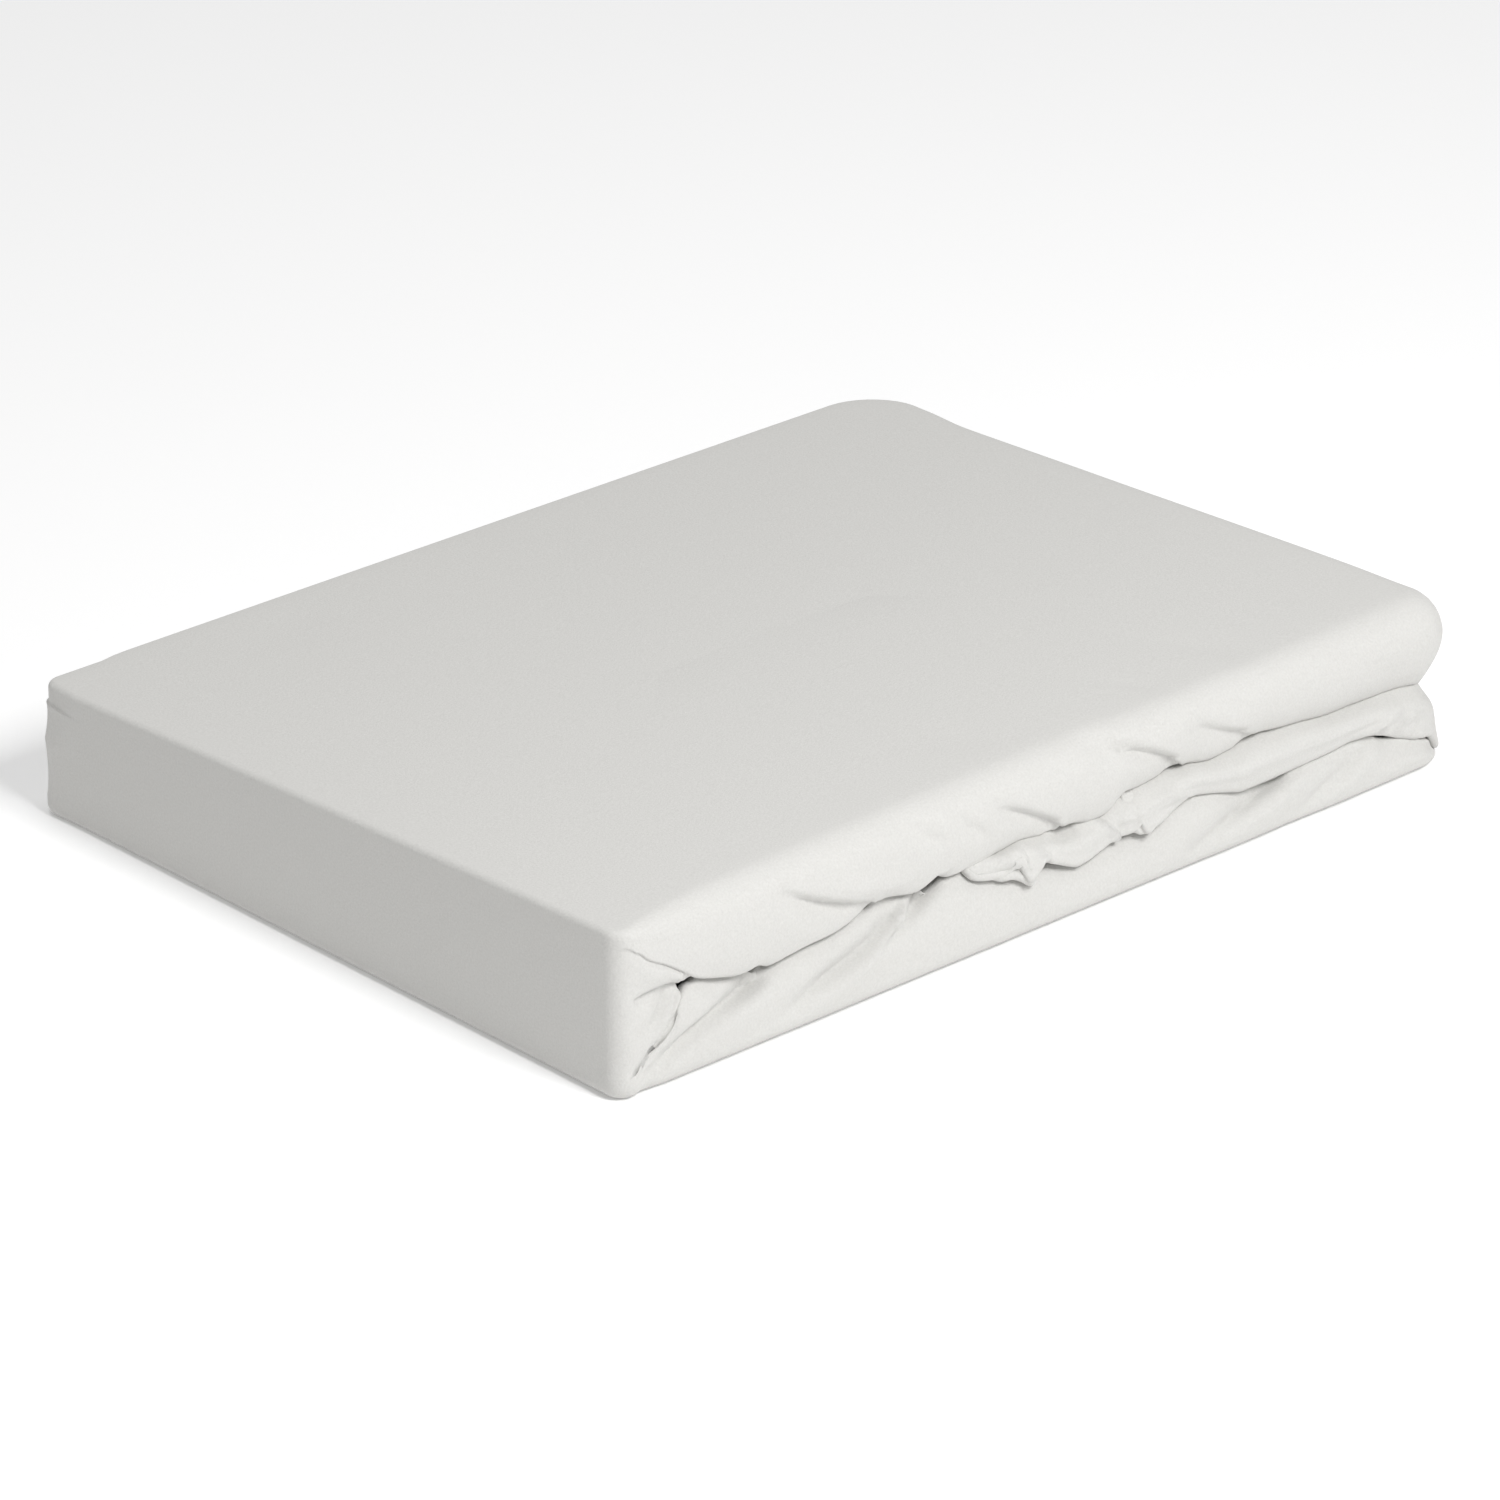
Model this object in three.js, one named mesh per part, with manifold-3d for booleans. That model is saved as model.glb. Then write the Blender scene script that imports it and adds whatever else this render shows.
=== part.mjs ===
import * as THREE from "three";
import { mergeVertices } from "three/addons/utils/BufferGeometryUtils.js";
import Module from "manifold-3d";

// A folded mattress protector, in millimetres: +X along the pack, -Y its open front, +Z up.
// The origin is on the ground under the middle. One cloth lies back and forth in layers. The outer
// layer is drawn down over the left end, and at the front it curls in to two soft lips.

const LENGTH = 380;
const DEPTH = 288;
const PLY = 1.8;
const LAYERS = 20;

// How much higher the middle of the top is than its edges.
const CROWN = 1.2;

// How far in from the back the strip of inner layers starts and ends.
const STRIP_END = 9;

// The plan's corners, counter-clockwise from the near one, with the pack's height at each.
const CORNERS = table(["x", "y", "height", "radius"], [
  [-1, -1, 57.6, 7],
  [1, -1, 59.6, 21],
  [1, 1, 47.8, 25],
  [-1, 1, 47.4, 7],
]);

// The sides of the plan, in the same order, each running from its own corner to the next.
const FRONT = 0;
const END = 1;
const BACK = 2;
const WALL = 3;

// Edges of the upper and lower lip, as heights above the ground. One row is one section of the lips,
// and at is its place along its side: x at the front and back, y at the end and the wall.
const EDGES = table(["side", "at", "upper", "lower"], [
  [FRONT, -183, 50.0, 8.2],
  [FRONT, -178, 46.4, 12.4],
  [FRONT, -171.5, 41.8, 16.2],
  [FRONT, -166, 38.0, 24.0],
  [FRONT, -160, 34.0, 29.2],
  [FRONT, -150, 30.1, 30.2],
  [FRONT, -138, 26.8, 27.0],
  [FRONT, -127, 26.0, 26.3],
  [FRONT, -113, 27.7, 27.9],
  [FRONT, -98, 28.9, 29.2],
  [FRONT, -88, 31.2, 30.6],
  [FRONT, -80, 33.1, 28.0],
  [FRONT, -62, 32.2, 26.7],
  [FRONT, -50, 32.9, 27.3],
  [FRONT, -38, 32.6, 25.2],
  [FRONT, -28, 33.4, 22.1],
  [FRONT, -18, 33.9, 18.9],
  [FRONT, -9, 32.4, 19.7],
  [FRONT, 1, 33.1, 17.5],
  [FRONT, 11, 31.4, 17.7],
  [FRONT, 20, 33.2, 19.2],
  [FRONT, 28, 36.7, 19.3],
  [FRONT, 38, 37.0, 20.1],
  [FRONT, 50, 37.2, 22.0],
  [FRONT, 58, 36.9, 24.4],
  [FRONT, 70, 35.2, 22.1],
  [FRONT, 84, 36.3, 18.7],
  [FRONT, 98, 35.9, 18.8],
  [FRONT, 112, 34.4, 19.4],
  [FRONT, 126, 33.3, 19.8],
  [FRONT, 140, 32.3, 20.2],
  [FRONT, 151, 31.6, 18.0],
  [FRONT, 161, 30.9, 14.2],
  [FRONT, 169, 29.4, 11.7],
  [END, -123, 26.0, 5.0],
  [END, -96, 29.0, 9.5],
  [END, -40, 30.0, 13.0],
  [END, 30, 30.0, 12.8],
  [END, 90, 29.0, 11.0],
  [END, 119, 33.0, 8.0],
  [BACK, -165, 40.4, 6.0],
  [BACK, -183, 40.0, 6.4],
  [WALL, 137, 39.8, 7.0],
  [WALL, 80, 38.0, 8.0],
  [WALL, 0, 40.0, 8.0],
  [WALL, -80, 40.0, 8.0],
  [WALL, -137, 49.0, 8.0],
]);

// Places of the sections at the back, where the outer layer turns straight into the next one.
const BACK_FOLDS = [163, 150, 75, 0, -80, -153, -160];

// Shape of the lips. upperOut and lowerOut are how far their sides stand in from the plan, round the top
// edge's radius, foot the bottom edge's, upperIn and lowerIn how far the lips' edges stand in, and
// upperTurn and lowerTurn the radii of their curl, which ends at tail, curl above or below the edge.
// Where open is 0 there is no slit: the cloth is whole and creased at the height seam.
const LIPS = table(
  [
    "side", "at", "open", "upperOut", "round", "upperIn", "upperTurn",
    "lowerOut", "foot", "lowerIn", "lowerTurn", "tail", "curl", "seam",
  ],
  [
    [FRONT, -183, 0, 0.0, 3.6, 0.0, 1.0, 0.0, 2.8, 0.0, 1.0, 0.0, 0, 31.6],
    [FRONT, -178, 0, 0.0, 4.2, -0.4, 1.1, 0.0, 3.2, -0.1, 1.1, 2.2, 0, 31.8],
    [FRONT, -171.5, 0, 0.0, 4.8, -0.6, 1.2, 0.0, 3.6, -0.2, 1.2, 3.4, 0, 32.3],
    [FRONT, -166, 0, 0.0, 5.2, -0.8, 1.4, 0.0, 3.8, 0.2, 1.4, 4.8, 0, 31.8],
    [FRONT, -160, 1, 0.0, 5.4, -1.0, 2.0, 0.0, 4.0, 1.8, 1.8, 8.6, 3, 0],
    [FRONT, -150, 1, 0.0, 5.6, -1.3, 2.8, 0.0, 4.0, 3.0, 2.2, 11.0, 5, 0],
    [FRONT, -62, 1, 0.0, 7.0, -1.6, 3.4, 0.0, 4.2, 3.4, 2.4, 11.5, 6, 0],
    [FRONT, 20, 1, 0.0, 8.2, -0.8, 3.6, 0.0, 4.4, 2.6, 2.2, 11.5, 6, 0],
    [FRONT, 98, 1, 0.0, 9.6, 1.0, 3.8, 0.0, 4.4, 1.8, 2.0, 11.5, 6, 0],
    [FRONT, 169, 1, 0.0, 12.0, 3.4, 4.0, 1.2, 3.4, 2.8, 1.6, 12.0, 6, 0],
    [END, -123, 1, 0.4, 14.0, 8.0, 3.4, 2.0, 2.4, 3.6, 1.2, 14.0, 3, 0],
    [END, -90, 1, 0.2, 13.0, 6.0, 3.8, 1.2, 3.0, 3.0, 1.6, 13.0, 4, 0],
    [END, 90, 1, 0.0, 11.0, 5.0, 4.0, 0.6, 3.6, 2.0, 2.0, 13.0, 5, 0],
    [END, 119, 1, 0.0, 7.0, 2.0, 3.0, 0.0, 3.0, 1.0, 2.0, 8.0, 1, 0],
    [BACK, 163, 1, 0.0, 2.2, 0.0, 2.0, 0.0, 2.0, 0.0, 2.0, 7.5, 0, 0],
    [BACK, 150, 1, 0.0, 2.2, 0.0, 2.0, 0.0, 2.0, 0.0, 2.0, 15.0, 0, 0],
    [BACK, -153, 1, 0.4, 2.2, 0.4, 2.0, 0.0, 2.0, 0.0, 2.0, 15.0, 0, 0],
    [BACK, -160, 1, 0.8, 2.2, 0.8, 2.0, 0.0, 2.0, 0.0, 2.0, 4.8, 0, 0],
    [BACK, -165, 0, 1.2, 2.4, 1.2, 0.8, -0.6, 2.8, -0.6, 0.8, -0.6, 0, 27],
    [WALL, 137, 0, 1.2, 2.4, 1.2, 0.8, -0.6, 2.8, -0.6, 0.8, -0.6, 0, 27],
    [WALL, 100, 0, 0.0, 2.2, 0.0, 0.8, 0.0, 3.0, 0.0, 0.8, 0.0, 0, 28],
    [WALL, -137, 0, 0.0, 2.8, 0.0, 0.8, 0.0, 3.0, 0.0, 0.8, 0.0, 0, 31.4],
  ],
);

// The gathered fold that hangs out between the lips, a row for each section. brow is the inset of its
// upper part, face that of its belly, in that of its edge, drop the edge's height above the lower lip.
const GATHER = table(["side", "at", "brow", "face", "in", "drop", "turn"], [
  [FRONT, -41, 11.5, 10.5, 10.5, 1.6, 0.9],
  [FRONT, -36, 8.0, 6.0, 5.4, 1.4, 1.0],
  [FRONT, -30, 6.0, 3.4, 2.2, 1.2, 1.2],
  [FRONT, -23, 5.6, 2.4, 1.4, 1.0, 1.2],
  [FRONT, -17, 5.2, 3.2, 2.4, 1.2, 1.2],
  [FRONT, -13, 5.0, 1.0, -1.4, 0.9, 1.2],
  [FRONT, -8, 5.2, 2.8, 0.8, 3.8, 1.2],
  [FRONT, -2, 5.4, 3.2, 2.2, 3.0, 1.4],
  [FRONT, 6, 5.2, 1.6, 0.6, 1.2, 1.4],
  [FRONT, 14, 5.0, 1.2, 0.2, 1.0, 1.4],
  [FRONT, 21, 5.4, 2.4, 1.2, 1.2, 1.4],
  [FRONT, 27, 6.4, 4.4, 2.6, 1.4, 1.2],
  [FRONT, 33, 5.4, 1.4, 0.2, 1.6, 1.2],
  [FRONT, 38, 5.2, 0.6, -1.6, 1.2, 1.2],
  [FRONT, 44, 5.4, 2.0, 0.4, 1.0, 1.2],
  [FRONT, 50, 5.6, 2.6, 2.0, 0.6, 1.4],
  [FRONT, 58, 5.8, 2.4, 2.6, 0.5, 1.6],
  [FRONT, 70, 6.0, 2.2, 2.6, 0.5, 1.6],
  [FRONT, 84, 6.2, 2.0, 2.5, 0.5, 1.6],
  [FRONT, 98, 6.6, 2.2, 2.4, 0.5, 1.6],
  [FRONT, 124, 7.0, 2.6, 2.4, 0.5, 1.6],
  [FRONT, 140, 7.4, 3.4, 2.8, 0.5, 1.6],
  [FRONT, 151, 7.6, 3.8, 3.2, 0.5, 1.6],
  [FRONT, 161, 7.8, 3.6, 3.2, 0.5, 1.4],
  [FRONT, 169, 8.4, 3.4, 2.8, 0.5, 1.2],
  [END, -123, 9.8, 3.2, 1.4, 0.6, 1.2],
  [END, -102, 9.0, 3.4, 2.4, 0.7, 1.4],
  [END, -50, 8.0, 3.6, 3.4, 0.9, 1.4],
  [END, 10, 8.0, 3.8, 3.6, 0.9, 1.4],
  [END, 60, 8.4, 5.4, 5.0, 0.9, 1.2],
  [END, 84, 11.0, 10.0, 9.6, 1.4, 0.9],
]);

// The layer that the gathered fold comes from, and how far in it leaves it.
const GATHER_LAYER = 11;
const GATHER_ROOT = 17.5;
const GATHER_PLY = PLY - 0.1;

// Sections of the stack of layers from the left end, with how far in its folds lie at back and front.
const STACK_SECTIONS = table(["at", "back", "front"], [
  [-186.2, 4.4, 15.0],
  [-171, 4.4, 14.6],
  [-166, 8.6, 14.8],
  [-160, 8.6, 14.8],
  [-154, 1.8, 14.6],
  [-110, 1.2, 14.4],
  [-55, 1.6, 15.2],
  [0, 1.1, 14.6],
  [60, 1.7, 15.0],
  [110, 1.3, 14.5],
  [147, 1.9, 14.8],
  [158, 8.0, 14.6],
  [175.5, 10.6, 14.8],
]);
const STACK_PLY = PLY + 0.06;

// Rings of the top between its middle and its rounded edge, by inset, and the rounded edge's steps in
// degrees.
const TOP_RINGS = [70, 26];
const ROUND_STEPS = [0, 32, 62, 90];

function table(columns, rows) {
  return rows.map((row) => Object.fromEntries(columns.map((name, i) => [name, row[i]])));
}

function mix(a, b, share) {
  return a + (b - a) * share;
}

// Height of the pack's top over a point of the plan.
function topHeight(x, y) {
  const u = THREE.MathUtils.clamp(x / LENGTH + 0.5, 0, 1);
  const v = THREE.MathUtils.clamp(y / DEPTH + 0.5, 0, 1);
  const [near, right, far, left] = CORNERS.map((corner) => corner.height);
  const crown = CROWN * (0.25 + 3 * u * (1 - u)) * 4 * v * (1 - v);
  return mix(mix(near, right, u), mix(left, far, u), v) + crown;
}

// Middle of a layer's thickness, counted up from the bottom one.
function layerHeight(layer, x, y) {
  return PLY / 2 + ((topHeight(x, y) - PLY) * layer) / (LAYERS - 1);
}

// Height of one rounded fold edge at the back: two plies and the gap between them.
function foldHeight(x, y) {
  return PLY + (topHeight(x, y) - PLY) / (LAYERS - 1);
}

function cornerAt(index, inset) {
  const corner = CORNERS[index % 4];
  const radius = Math.max(corner.radius - inset, 1.2);
  return {
    x: corner.x * (LENGTH / 2 - inset - radius),
    y: corner.y * (DEPTH / 2 - inset - radius),
    radius,
  };
}

// A point of the plan, inset from its outline. share runs from 0 to 1 along a side, then from 1 to 2
// round the corner that follows it.
function planPoint(side, share, inset) {
  const start = cornerAt(side, inset);
  const end = cornerAt(side + 1, inset);
  const turn = side - 1 + Math.max(share - 1, 0);
  const normal = [Math.cos((turn * Math.PI) / 2), Math.sin((turn * Math.PI) / 2)];
  if (share > 1) {
    return [end.x + normal[0] * end.radius, end.y + normal[1] * end.radius];
  }
  return [
    mix(start.x + normal[0] * start.radius, end.x + normal[0] * end.radius, share),
    mix(start.y + normal[1] * start.radius, end.y + normal[1] * end.radius, share),
  ];
}

// Where a table's row lies along its side.
function shareOf({ side, at }) {
  const axis = side % 2;
  const from = planPoint(side, 0, 0)[axis];
  const to = planPoint(side, 1, 0)[axis];
  return THREE.MathUtils.clamp((at - from) / (to - from), 0, 1);
}

function wayOf(side, share) {
  return side + share / 2;
}

// Reads a table's columns at a place on the way round, between the two rows beside it.
function readAround(rows, way) {
  const placed = rows.map((row) => ({ way: wayOf(row.side, shareOf(row)), row }));
  const last = placed[placed.length - 1];
  const first = placed[0];
  const ring = [
    { way: last.way - 4, row: last.row },
    ...placed,
    { way: first.way + 4, row: first.row },
  ];
  const index = Math.max(ring.findIndex((entry) => entry.way > way + 1e-9), 1);
  const [before, after] = [ring[index - 1], ring[index]];
  const share = (way - before.way) / (after.way - before.way);
  const names = Object.keys(before.row);
  return Object.fromEntries(names.map((name) => [name, mix(before.row[name], after.row[name], share)]));
}

// Half a section of the outer layer as [inset, depth] points, from the flat face over the rounded edge
// and down the side to the lip's edge, which curls in to its tail. Where there is no curl the line
// only steps in or out by what is left to the tail.
function lipProfile({ rings, out, round, inset, edge, turn, tail, end, puff }) {
  const points = rings.map((ring) => [ring, 0]);
  for (const degrees of ROUND_STEPS) {
    const angle = (degrees * Math.PI) / 180;
    points.push([out + round * (1 - Math.sin(angle)), round * (1 - Math.cos(angle))]);
  }
  const step = THREE.MathUtils.clamp(tail - inset, -turn, turn);
  points.push([mix(out, inset, 0.4), mix(round, edge - turn, 0.5)]);
  points.push([inset, edge - turn]);
  points.push([inset + 0.3 * step, edge - 0.3 * turn]);
  points.push([inset + step, edge]);
  points.push([mix(inset + step, tail, 0.5) - puff, mix(edge, end, 0.35)]);
  points.push([tail, end]);
  return points;
}

// The same line moved towards the inside of the cloth by its thickness.
function innerLine(points, thickness) {
  return points.map((point, i) => {
    const before = points[Math.max(i - 1, 0)];
    const after = points[Math.min(i + 1, points.length - 1)];
    const first = new THREE.Vector2(point[1] - before[1], before[0] - point[0]).normalize();
    const second = new THREE.Vector2(after[1] - point[1], point[0] - after[0]).normalize();
    const normal = first.add(second).normalize();
    const leaning = i === 0 || i === points.length - 1 ? 1 : Math.max(normal.dot(second), 0.75);
    return [point[0] + (normal.x * thickness) / leaning, point[1] + (normal.y * thickness) / leaning];
  });
}

// The inner side of a profile, without its first ring, the arc's second point and the curl's middle.
function innerProfile(points, rings, seam) {
  const inner = innerLine(points, PLY);
  if (seam) {
    inner[inner.length - 1] = seam;
  }
  const spared = [rings.length - 1, rings.length + 1, rings.length + ROUND_STEPS.length + 2];
  return inner.filter((point, i) => !spared.includes(i));
}

// One section of the outer layer: the upper and the lower line, each with its inner side.
function wrapSection({ side, share }) {
  const way = wayOf(side, share);
  const lip = readAround(LIPS, way);
  const edges = readAround(EDGE_ROWS, way);
  const height = topHeight(...planPoint(side, share, 0));
  const open = lip.open > 0.5;
  const puff = open ? 0 : Math.min(lip.tail, 1.4) * 0.7;
  const upperEdge = height - edges.upper;
  const upper = lipProfile({
    rings: TOP_RINGS,
    out: lip.upperOut,
    round: lip.round,
    inset: lip.upperIn,
    edge: upperEdge,
    turn: lip.upperTurn,
    tail: lip.tail,
    end: open ? upperEdge - lip.curl : height - lip.seam,
    puff,
  });
  const lower = lipProfile({
    rings: [],
    out: lip.lowerOut,
    round: lip.foot,
    inset: lip.lowerIn,
    edge: edges.lower,
    turn: lip.lowerTurn,
    tail: lip.tail,
    end: open ? edges.lower - lip.curl : lip.seam,
    puff,
  });
  const upperInner = innerProfile(upper, TOP_RINGS, !open && [lip.tail + PLY, height - lip.seam]);
  const lowerInner = innerProfile(lower, [], !open && [lip.tail + PLY, lip.seam]);
  const fromTop = ([inset, depth]) => {
    const [x, y] = planPoint(side, share, inset);
    return [x, y, (TOP_RINGS.includes(inset) ? topHeight(x, y) : height) - depth];
  };
  const fromGround = ([inset, rise]) => [...planPoint(side, share, inset), rise];
  return {
    open,
    upper: upper.map(fromTop),
    upperInner: upperInner.map(fromTop),
    lower: lower.map(fromGround),
    lowerInner: lowerInner.map(fromGround),
  };
}

class Surface {
  constructor() {
    this.points = [];
    this.faces = [];
  }

  add(point) {
    this.points.push(point);
    return this.points.length - 1;
  }

  quad(a, b, c, d) {
    this.faces.push([a, b, c], [a, c, d]);
  }

  // A closed body, facing outwards, with doubled points joined.
  solid(wasm) {
    const geometry = new THREE.BufferGeometry();
    geometry.setAttribute("position", new THREE.Float32BufferAttribute(this.points.flat(), 3));
    geometry.setIndex(this.faces.flat());
    const joined = mergeVertices(geometry, 1e-4);
    const index = [...joined.index.array];
    const kept = [];
    for (let i = 0; i < index.length; i += 3) {
      const [a, b, c] = index.slice(i, i + 3);
      if (a !== b && b !== c && c !== a) {
        kept.push(a, b, c);
      }
    }
    const vertProperties = new Float32Array(joined.attributes.position.array);
    const triVerts = new Uint32Array(kept);
    return new wasm.Manifold(new wasm.Mesh({ numProp: 3, vertProperties, triVerts }));
  }
}

// The outer layer: every section joined to the next, and the flat middles of top and bottom.
function buildWrap(wasm) {
  const surface = new Surface();
  const sections = STATIONS.map(wrapSection);
  const index = sections.map((section) => ({
    open: section.open,
    upper: section.upper.map((p) => surface.add(p)),
    upperInner: section.upperInner.map((p) => surface.add(p)),
    lower: section.lower.map((p) => surface.add(p)),
    lowerInner: section.lowerInner.map((p) => surface.add(p)),
  }));
  const topCentre = surface.add([0, 0, topHeight(0, 0)]);
  const topCentreInner = surface.add([0, 0, topHeight(0, 0) - PLY]);
  const baseCentre = surface.add([0, 0, 0]);
  const baseCentreInner = surface.add([0, 0, PLY]);
  // Faces between two neighbouring lines of points; turned reverses which way they face.
  const strip = (a, b, turned) => {
    for (let i = 0; i + 1 < a.length; i += 1) {
      const quad = [a[i], a[i + 1], b[i + 1], b[i]];
      surface.quad(...(turned ? quad.reverse() : quad));
    }
  };
  index.forEach((here, k) => {
    const next = index[(k + 1) % index.length];
    strip(here.upper, next.upper, false);
    strip(here.upperInner, next.upperInner, true);
    strip(here.lower, next.lower, true);
    strip(here.lowerInner, next.lowerInner, false);
    if (here.open || next.open) {
      const ends = ({ upper, upperInner }) => [upper.at(-1), upperInner.at(-1)];
      const lowerEnds = ({ lower, lowerInner }) => [lower.at(-1), lowerInner.at(-1)];
      strip(ends(here), ends(next), false);
      strip(lowerEnds(here), lowerEnds(next), true);
    }
    surface.faces.push(
      [topCentre, here.upper[0], next.upper[0]],
      [topCentreInner, next.upperInner[0], here.upperInner[0]],
      [baseCentre, next.lower[0], here.lower[0]],
      [baseCentreInner, here.lowerInner[0], next.lowerInner[0]],
    );
  });
  return surface.solid(wasm);
}

// Joins equal sections, each a closed line of points, and closes both ends over their flat shape.
function loft(wasm, sections, flatShape) {
  const surface = new Surface();
  const index = sections.map((section) => section.map((point) => surface.add(point)));
  const count = index[0].length;
  for (let k = 0; k + 1 < index.length; k += 1) {
    for (let i = 0; i < count; i += 1) {
      const j = (i + 1) % count;
      surface.quad(index[k][i], index[k][j], index[k + 1][j], index[k + 1][i]);
    }
  }
  for (const [k, flip] of [[0, true], [index.length - 1, false]]) {
    const contour = flatShape(k).map(([u, v]) => new THREE.Vector2(u, v));
    const forwards = THREE.ShapeUtils.area(contour) > 0;
    for (const [a, b, c] of THREE.ShapeUtils.triangulateShape(contour, [])) {
      const turned = THREE.ShapeUtils.area([contour[a], contour[b], contour[c]]) > 0 === forwards;
      const face = turned === flip ? [a, c, b] : [a, b, c];
      surface.faces.push(face.map((i) => index[k][i]));
    }
  }
  return surface.solid(wasm);
}

// The layers inside as one strip, folded at the front and at the back by turns.
function stackSection({ at: x, back, front }) {
  const far = cornerAt(2, back);
  const beyond = Math.max(x - far.x, 0);
  const backEdge = far.y + Math.sqrt(far.radius ** 2 - beyond ** 2);
  const yStart = DEPTH / 2 - Math.max(STRIP_END, back);
  const half = STACK_PLY / 2;
  const top = LAYERS - 2;
  const start = layerHeight(top, x, yStart);
  const outside = [[x, yStart, start + half]];
  const inside = [[x, yStart, start - half]];
  for (let layer = top; layer > 1; layer -= 1) {
    const atFront = layer % 2 === 0;
    const sign = atFront ? 1 : -1;
    const [above, below] = atFront ? [outside, inside] : [inside, outside];
    const uneven = 0.5 + 0.5 * Math.sin(layer * 2.4 + x / 60);
    const edge = atFront ? front + uneven - DEPTH / 2 : backEdge - uneven;
    const high = layerHeight(layer, x, edge);
    const low = layerHeight(layer - 1, x, edge);
    const radius = (high - low) / 2 + half;
    above.push([x, 0, layerHeight(layer, x, 0) + half]);
    below.push([x, 0, layerHeight(layer, x, 0) - half]);
    for (const degrees of [90, 45, 0, -45, -90]) {
      const angle = (degrees * Math.PI) / 180;
      const reach = edge + sign * radius * (1 - Math.cos(angle));
      above.push([x, reach, (high + low) / 2 + radius * Math.sin(angle)]);
    }
    below.push([x, edge + sign * radius, high - half]);
    below.push([x, edge + sign * (STACK_PLY + 0.1), (high + low) / 2]);
    below.push([x, edge + sign * radius, low + half]);
  }
  const end = layerHeight(1, x, yStart);
  inside.push([x, 0, layerHeight(1, x, 0) + half], [x, yStart, end + half]);
  outside.push([x, 0, layerHeight(1, x, 0) - half], [x, yStart, end - half]);
  return [...outside, ...inside.reverse()];
}

function buildStack(wasm) {
  const sections = STACK_SECTIONS.map(stackSection);
  return loft(wasm, sections, (k) => sections[k].map(([, y, z]) => [y, z]));
}

// The gathered fold: it leaves the stack level with one of the layers, hangs out under the upper lip
// and turns in over the lower one.
function gatherSection({ side, share }) {
  const way = wayOf(side, share);
  const row = readAround(GATHER, way);
  const edges = readAround(EDGE_ROWS, way);
  const root = layerHeight(GATHER_LAYER, ...planPoint(side, share, GATHER_ROOT));
  const edge = edges.lower + row.drop;
  const brow = Math.min(edges.upper - 2.6, root - 1);
  const line = [
    [GATHER_ROOT, root + PLY / 2],
    [mix(GATHER_ROOT, row.brow, 0.5), root + PLY / 2 - 0.4],
    [row.brow, Math.max(brow, edge + 2.5 * row.turn)],
    [row.face, mix(brow, edge + row.turn, 0.55)],
    [row.in, edge + row.turn],
    [row.in + row.turn, edge],
    [row.in + 2.4 * row.turn, edge + 0.9 * row.turn],
  ];
  const turned = line.map(([inset, z]) => [inset, -z]);
  const inner = innerLine(turned, GATHER_PLY).map(([inset, z]) => [inset, -z]);
  const flat = [...line, ...inner.reverse()];
  return { flat, points: flat.map(([inset, z]) => [...planPoint(side, share, inset), z]) };
}

function buildGather(wasm) {
  const rowsOf = (side) => GATHER.filter((row) => row.side === side);
  const places = (side) => rowsOf(side).map((row) => ({ side, share: shareOf(row) }));
  const corner = CORNER_SHARES[FRONT].map((share) => ({ side: FRONT, share }));
  const sections = [...places(FRONT), ...corner, ...places(END)].map(gatherSection);
  return loft(wasm, sections.map((section) => section.points), (k) => sections[k].flat);
}

// The edges of every section. Those at the back follow the height of a fold.
const EDGE_ROWS = [
  ...EDGES.filter(({ side }) => side < BACK),
  ...BACK_FOLDS.map((at) => {
    const fold = foldHeight(at, DEPTH / 2);
    return { side: BACK, at, upper: topHeight(at, DEPTH / 2) - fold, lower: fold };
  }),
  ...EDGES.filter(({ side }) => side >= BACK),
];

// Places of the sections round each corner, and of all sections in order.
const CORNER_SHARES = [[1.25, 1.5, 1.75], [1.2, 1.4, 1.6, 1.8], [1.33, 1.67], [1.33, 1.67]];
const STATIONS = [0, 1, 2, 3].flatMap((side) => [
  ...EDGE_ROWS.filter((row) => row.side === side).map((row) => ({ side, share: shareOf(row) })),
  ...CORNER_SHARES[side].map((share) => ({ side, share })),
]);

const wasm = await Module();
wasm.setup();

const cloth = buildWrap(wasm).add(buildStack(wasm)).add(buildGather(wasm));
const mesh = cloth.getMesh();
const geometry = new THREE.BufferGeometry();
geometry.setAttribute("position", new THREE.BufferAttribute(new Float32Array(mesh.vertProperties), 3));
geometry.setIndex([...mesh.triVerts]);
geometry.computeVertexNormals();

const material = new THREE.MeshStandardMaterial({ color: 0xe6e5e1, roughness: 0.92, metalness: 0 });
material.name = "cloth";
const protector = new THREE.Mesh(geometry, material);
protector.name = "folded_cloth";

const group = new THREE.Group();
group.name = "folded_mattress_protector";
group.add(protector);

export default group;
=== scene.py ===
"""The folded mattress protector: its cloth in full detail, soft studio light and the camera.

Sizes are in millimetres and become metres where the mesh is made. +X runs along the pack, -Y is its
open front and +Z is up. One cloth makes the outer layer, the layers inside and the gathered fold.
"""

import math

import bpy
import numpy as np
from mathutils import Matrix, Vector


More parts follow.
